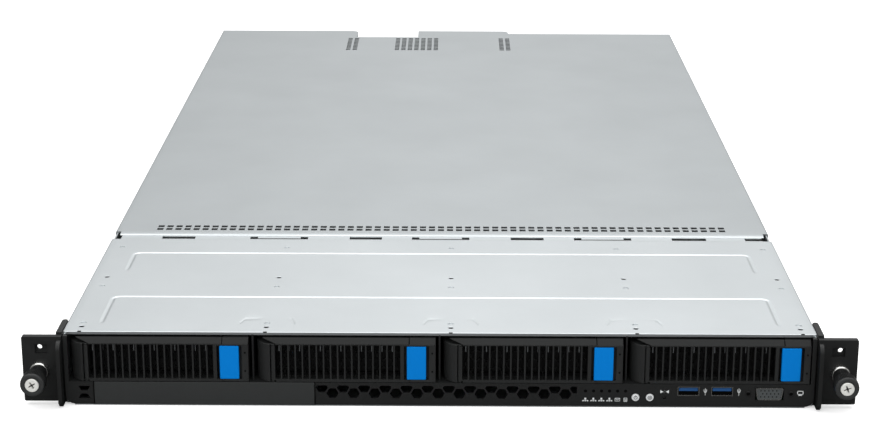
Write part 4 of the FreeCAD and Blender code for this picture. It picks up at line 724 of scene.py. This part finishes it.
def usb_receptacles():
    """Two receptacles: a folded shell, a blue tongue with its contacts, a foot on the board, and painted
    shade in the hollow under each tongue.
    """
    shells, tongues, contacts, feet, hollow_shade = [], [], [], [], []
    for i in range(2):
        x, low, high = 145.2 + 19.63 * i, 7.38, 13.08
        a, b, front, back, wall = x - 6.35, x + 6.35, FACE, FACE + 14, 0.4
        shells.append(boxes((a, b, front, back, low, low + wall), (a, b, front, back, high - wall, high),
                            (a, a + wall, front, back, low + wall, high - wall),
                            (b - wall, b, front, back, low + wall, high - wall),
                            (a + wall, b - wall, back - wall, back, low + wall, high - wall)))
        tongues.append(boxes((a + 0.9, b - 0.9, front + 0.6, back - wall, high - 2.9, high - 1.0)))
        starts = x - 5 + 2.5 * np.arange(4) + 0.75
        contacts += [boxes((s, s + 1.0, front + 1.4, back - 2, high - 3.0, high - 2.9)) for s in starts]
        feet.append(boxes((a + 1, b - 1, 4.4, back, 3.4, low)))
        # A near-black sheet in the hollow under the tongue: painted shade
        hollow_shade.append(boxes((a + 0.4, b - 0.4, front + 1.8, front + 2.0, low + 0.4, high - 3.1)))
    piece("usb_shells", shells, nickel, stands_for=("front_usb_ports",))
    piece("usb_tongues", tongues, blue_nylon)
    piece("usb_contacts", contacts, gold_contacts)
    piece("usb_feet", feet, abs_black)
    piece("usb_hollow_shade", hollow_shade, painted_shade_black)


def video_socket():
    """The D-shaped shell with its insert, painted shade in its pin holes, and the hexagonal posts beside it,
    with painted shade in their holes.
    """
    x, low, high, half_low, half_high, lip = 192.5, 4.89, 12.39, 6.95, 8.15, 0.55
    outer = rounded([(x, low), (x + half_low, low), (x + half_high, high), (x - half_high, high),
                     (x - half_low, low), (x, low)], 1.3)[:-1]
    middle, tall = np.array((x, (low + high) / 2)), (high - low) / 2
    inner = middle + (outer - middle) * ((half_high - lip) / half_high, (tall - lip) / tall)
    rings = np.stack((outer, outer, inner, inner))
    depths = np.array((FACE + 2, FACE - 0.1, FACE - 0.1, FACE + 1.6))[:, None]
    points = np.stack((rings[..., 0], np.broadcast_to(depths, rings.shape[:2]), rings[..., 1]), -1)
    shell = (points, grid(len(outer), 4, closed=True)[:, ::-1])
    piece("video_shell_drawn", [shell, slab(outer, FACE + 2, 8.4)], nickel, stands_for=("front_video_port",))
    piece("video_insert", [slab(inner, FACE + 0.5, FACE + 2.2)], grey_nylon)
    # Three rows of five holes 2.3 mm apart, the middle row shifted by half of that
    places = [(x + 2.3 * (i - 2) + 1.15 * (row == 1) - 0.4, middle[1] + 1.9 * (row - 1))
              for row in range(3) for i in range(5)]
    # Near-black discs in the pin holes: painted shade
    holes = [slab(circle(*place, 0.42, 8), FACE + 0.47, FACE + 0.5) for place in places]
    piece("video_pin_hole_shade", holes, painted_shade_black)
    piece("video_foot", [boxes((x - 6.9, x + 6.9, 4.4, 8.4, 3.4, low))], abs_black)
    post_places = [(x + 12.45 * side, 9.0) for side in (-1, 1)]
    posts = [slab(circle(*place, 1.6, 6), FACE - 0.6, FACE) for place in post_places]
    piece("video_posts", posts, knob_nylon, soften=0.2)
    # Near-black discs in the posts' holes: painted shade
    post_bore_shade = [slab(circle(*place, 1.0), FACE - 0.62, FACE - 0.6) for place in post_places]
    piece("video_post_bore_shade", post_bore_shade, painted_shade_black)


TRAY_PITCH = 108.84
TRAY_HALF = 52.125


def tray_lamps():
    """Painted shade in the two light-pipe holes of each tray's right post, and a honeycomb screen behind
    each grille.

    The screen's webs are sides of hexagons, whose middles lie on a lattice of triangles 6 mm wide. Its
    top row lies further forward and is drawn in zinc, not black nylon: a painted highlight for the light it
    catches.
    """
    pitch, columns, rows = 6, 12, 4
    turn = np.radians((30, 90, 150, 210))
    corners = pitch / math.sqrt(3) * np.stack((np.cos(turn), np.sin(turn)), -1)
    for number in range(1, TRAYS + 1):
        body, middle = f"drive_tray_{number}", TRAY_PITCH * (number - 2.5)
        x = middle + TRAY_HALF - 1.9
        # Near-black discs in the light-pipe holes: painted shade
        bore_shade = [slab(circle(x, z, 0.6, 12), FACE - 0.02, FACE) for z in (21.63, 32.99)]
        piece(f"tray_{number}_bores", bore_shade, painted_shade_black, body)
        left, low = middle - TRAY_HALF + 13, 18.5
        webs = [corners + (left + pitch * i + pitch / 2 * (j % 2), low + 5.196 * j)
                for i in range(columns) for j in range(rows)]
        shaded, lit = [web for i, web in enumerate(webs) if i % rows < rows - 1], webs[rows - 1::rows]
        piece(f"tray_{number}_screen", strokes(shaded, (0, 0), 0.8, 4.2, 0.5), knob_nylon, body)
        # The top row in zinc: painted highlight; the rows below stay black
        piece(f"tray_{number}_screen_lit_edge", strokes(lit, (0, 0), 0.5, 1.9, 0.2), zinc, body)


def tray_brows():
    """The slope over each tray: most of it rides on the swinging grille, the rest stays on the bezel.

    It rises 2.8 mm over 3.1 mm of depth and runs out 8 mm to the left as it rises, above the scooped side.
    """
    low, high, front, crest, clearance = 38.3, 41.1, FACE, FACE + 3.1, 0.15
    for number in range(1, TRAYS + 1):
        left, right = TRAY_PITCH * (number - 2.5) - TRAY_HALF, TRAY_PITCH * (number - 2.5) + TRAY_HALF
        seam = right - 15.3
        # Part, body, lean, start, stop and back
        parts = (("grille", f"tray_lever_{number}", 8.0, left + 11.6, seam - clearance, 1.3),
                 ("bezel", f"drive_tray_{number}", 0.0, seam + clearance, right, 10.0))
        for part, body, lean, start, stop, back in parts:
            section = np.array([(front, low), (crest, high), (back, high), (back, low)])
            begin = start - lean * (section[:, 1] - low) / (high - low)
            points = np.concatenate([np.column_stack((x, section)) for x in (begin, np.full(4, stop))])
            faces = [*grid(4, 2, closed=True)[:, ::-1].tolist(), [0, 1, 2, 3], [7, 6, 5, 4]]
            # The slopes are drawn in the darker copy of the plastic: painted shade
            piece(f"tray_{number}_{part}_brow", [(points, faces)], abs_matt_shaded, body, soften=0.25)


# Nodes whose own shape is kept, with the radius of their broken edges in millimetres
SOFTENED = {
    powder: (("rack_ears", 0.4), ("front_panel", 0.15)),
    powder_painted_sheen: (("blanking_cover", 0.2),),
    abs_black: (*((tray, 0.6) for tray in numbered("tray", TRAYS)),
                *((lever, 0.15) for lever in numbered("lever", TRAYS)), ("reset_button", 0.1)),
    abs_blue: tuple((latch, 0.5) for latch in numbered("latch", TRAYS)),
    zinc: (("rear_panel", 0.2), ("supply_1", 0.2), ("supply_2", 0.2)),
}
for finish, group in SOFTENED.items():
    for node, radius in group:
        softened(node, radius, finish)
front_cover()
sliding_cover()
thumbscrews()
strip_marks()
push_buttons()
usb_receptacles()
video_socket()
tray_lamps()
tray_brows()


def photo_camera():
    """The lens, place and turn that lay the model's corners over the photograph's."""
    width_px, lens_px = 880, 1995.76
    pitch, yaw, roll = 0.3022, -0.0064, 0.0023
    place = Vector((7.03, -1085.75, 451.58)) * MM
    forward = Vector((math.sin(yaw) * math.cos(pitch), math.cos(yaw) * math.cos(pitch), -math.sin(pitch)))
    right = Vector((math.cos(yaw), -math.sin(yaw), 0))
    up = right.cross(forward)
    across = math.cos(roll) * right + math.sin(roll) * up
    upward = math.cos(roll) * up - math.sin(roll) * right
    camera = bpy.data.objects.new("photo_camera", bpy.data.cameras.new("photo_camera"))
    camera.data.lens = camera.data.sensor_width * lens_px / width_px
    camera.data.clip_end = 20
    turn = Matrix((across, upward, -forward)).transposed().to_4x4()
    camera.matrix_world = Matrix.Translation(place) @ turn
    bpy.context.scene.collection.objects.link(camera)
    bpy.context.scene.camera = camera


def soft_lamp(name, place, aim, wide, deep, watts):
    """A soft box: a rectangle of light turned to face a point."""
    lamp = bpy.data.objects.new(name, bpy.data.lights.new(name, "AREA"))
    lamp.data.shape = "RECTANGLE"
    lamp.data.size, lamp.data.size_y, lamp.data.energy = wide, deep, watts
    lamp.location = place
    lamp.rotation_euler = (Vector(aim) - Vector(place)).to_track_quat("-Z", "Y").to_euler()
    bpy.context.scene.collection.objects.link(lamp)


def studio():
    """A white table in a white room, with one broad lamp above and a weaker one in front."""
    room = bpy.data.worlds.new("white_room")
    room.use_nodes = True
    bpy.context.scene.world = room
    tree = room.node_tree
    rays = add(tree, "ShaderNodeLightPath")
    direction = add(tree, "ShaderNodeTexCoord").outputs["Generated"]
    sides = add(tree, "ShaderNodeSeparateXYZ", {"Vector": direction})
    height = sides.outputs["Z"]
    # The back wall brightens upward and towards its middle, which is what grades the covers
    seen = add(tree, "ShaderNodeMapRange", {"Value": height, "From Min": 0.12, "From Max": 0.4,
                                            "To Min": 0.46, "To Max": 1.06})
    aside = add(tree, "ShaderNodeMath", {0: sides.outputs["X"]}, operation="ABSOLUTE")
    fall = add(tree, "ShaderNodeMapRange", {"Value": aside, "From Min": 0.02, "From Max": 0.35,
                                            "To Min": 1.0, "To Max": 0.52})
    seen = add(tree, "ShaderNodeMath", {0: seen, 1: fall}, operation="MULTIPLY")
    # The left wall is a little further off, and darker
    left = add(tree, "ShaderNodeMapRange", {"Value": sides.outputs["X"], "From Min": -0.3, "From Max": 0.0,
                                            "To Min": 0.74, "To Max": 1.0})
    seen = add(tree, "ShaderNodeMath", {0: seen, 1: left}, operation="MULTIPLY")
    # What stands before the server is dark, as behind a camera
    behind = add(tree, "ShaderNodeMapRange", {"Value": sides.outputs["Y"], "From Min": -0.4, "From Max": 0.1,
                                              "To Min": 0.18, "To Max": 1.0})
    seen = add(tree, "ShaderNodeMath", {0: seen, 1: behind}, operation="MULTIPLY")
    glow = add(tree, "ShaderNodeMix", {0: rays.outputs["Is Glossy Ray"], 2: 0.5, 3: seen}, data_type="FLOAT")
    glow = add(tree, "ShaderNodeMix", {0: rays.outputs["Is Camera Ray"], 2: glow, 3: 1.0}, data_type="FLOAT")
    tree.nodes["Background"].inputs["Color"].default_value = linear("#FFFFFF")
    tree.links.new(glow.outputs[0], tree.nodes["Background"].inputs["Strength"])

    half = 2.2
    mesh = bpy.data.meshes.new("table")
    corners = [(-half, -half, 0), (half, -half, 0), (half, half, 0), (-half, half, 0)]
    mesh.from_pydata(corners, [], [(0, 1, 2, 3)])
    table = bpy.data.objects.new("table", mesh)
    bpy.context.scene.collection.objects.link(table)
    made, tree, shader = finish_named("white_card", "#E8E8E8", Roughness=0.9)
    rays = add(tree, "ShaderNodeLightPath")
    # White to the eye and to light that passes on, but mid grey where a polished face mirrors it
    tone = add(tree, "ShaderNodeMix", {0: rays.outputs["Is Glossy Ray"], 6: linear("#E8E8E8"),
                                       7: linear("#404040")}, data_type="RGBA")
    tree.links.new(tone.outputs[2], shader.inputs["Base Color"])
    glow = add(tree, "ShaderNodeMath", {0: rays.outputs["Is Camera Ray"], 1: 0.45}, operation="MULTIPLY")
    shader.inputs["Emission Color"].default_value = linear("#FFFFFF")
    tree.links.new(glow.outputs[0], shader.inputs["Emission Strength"])
    mesh.materials.append(made)

    soft_lamp("top_lamp", (0, 0.35, 2.2), (0, 0.35, 0), 4.2, 3.8, 82)
    soft_lamp("front_lamp", (-0.4, -2.0, 1.2), (0, 0, 0), 3.2, 2.0, 22)


photo_camera()
studio()
bpy.context.scene.view_settings.view_transform = "Standard"
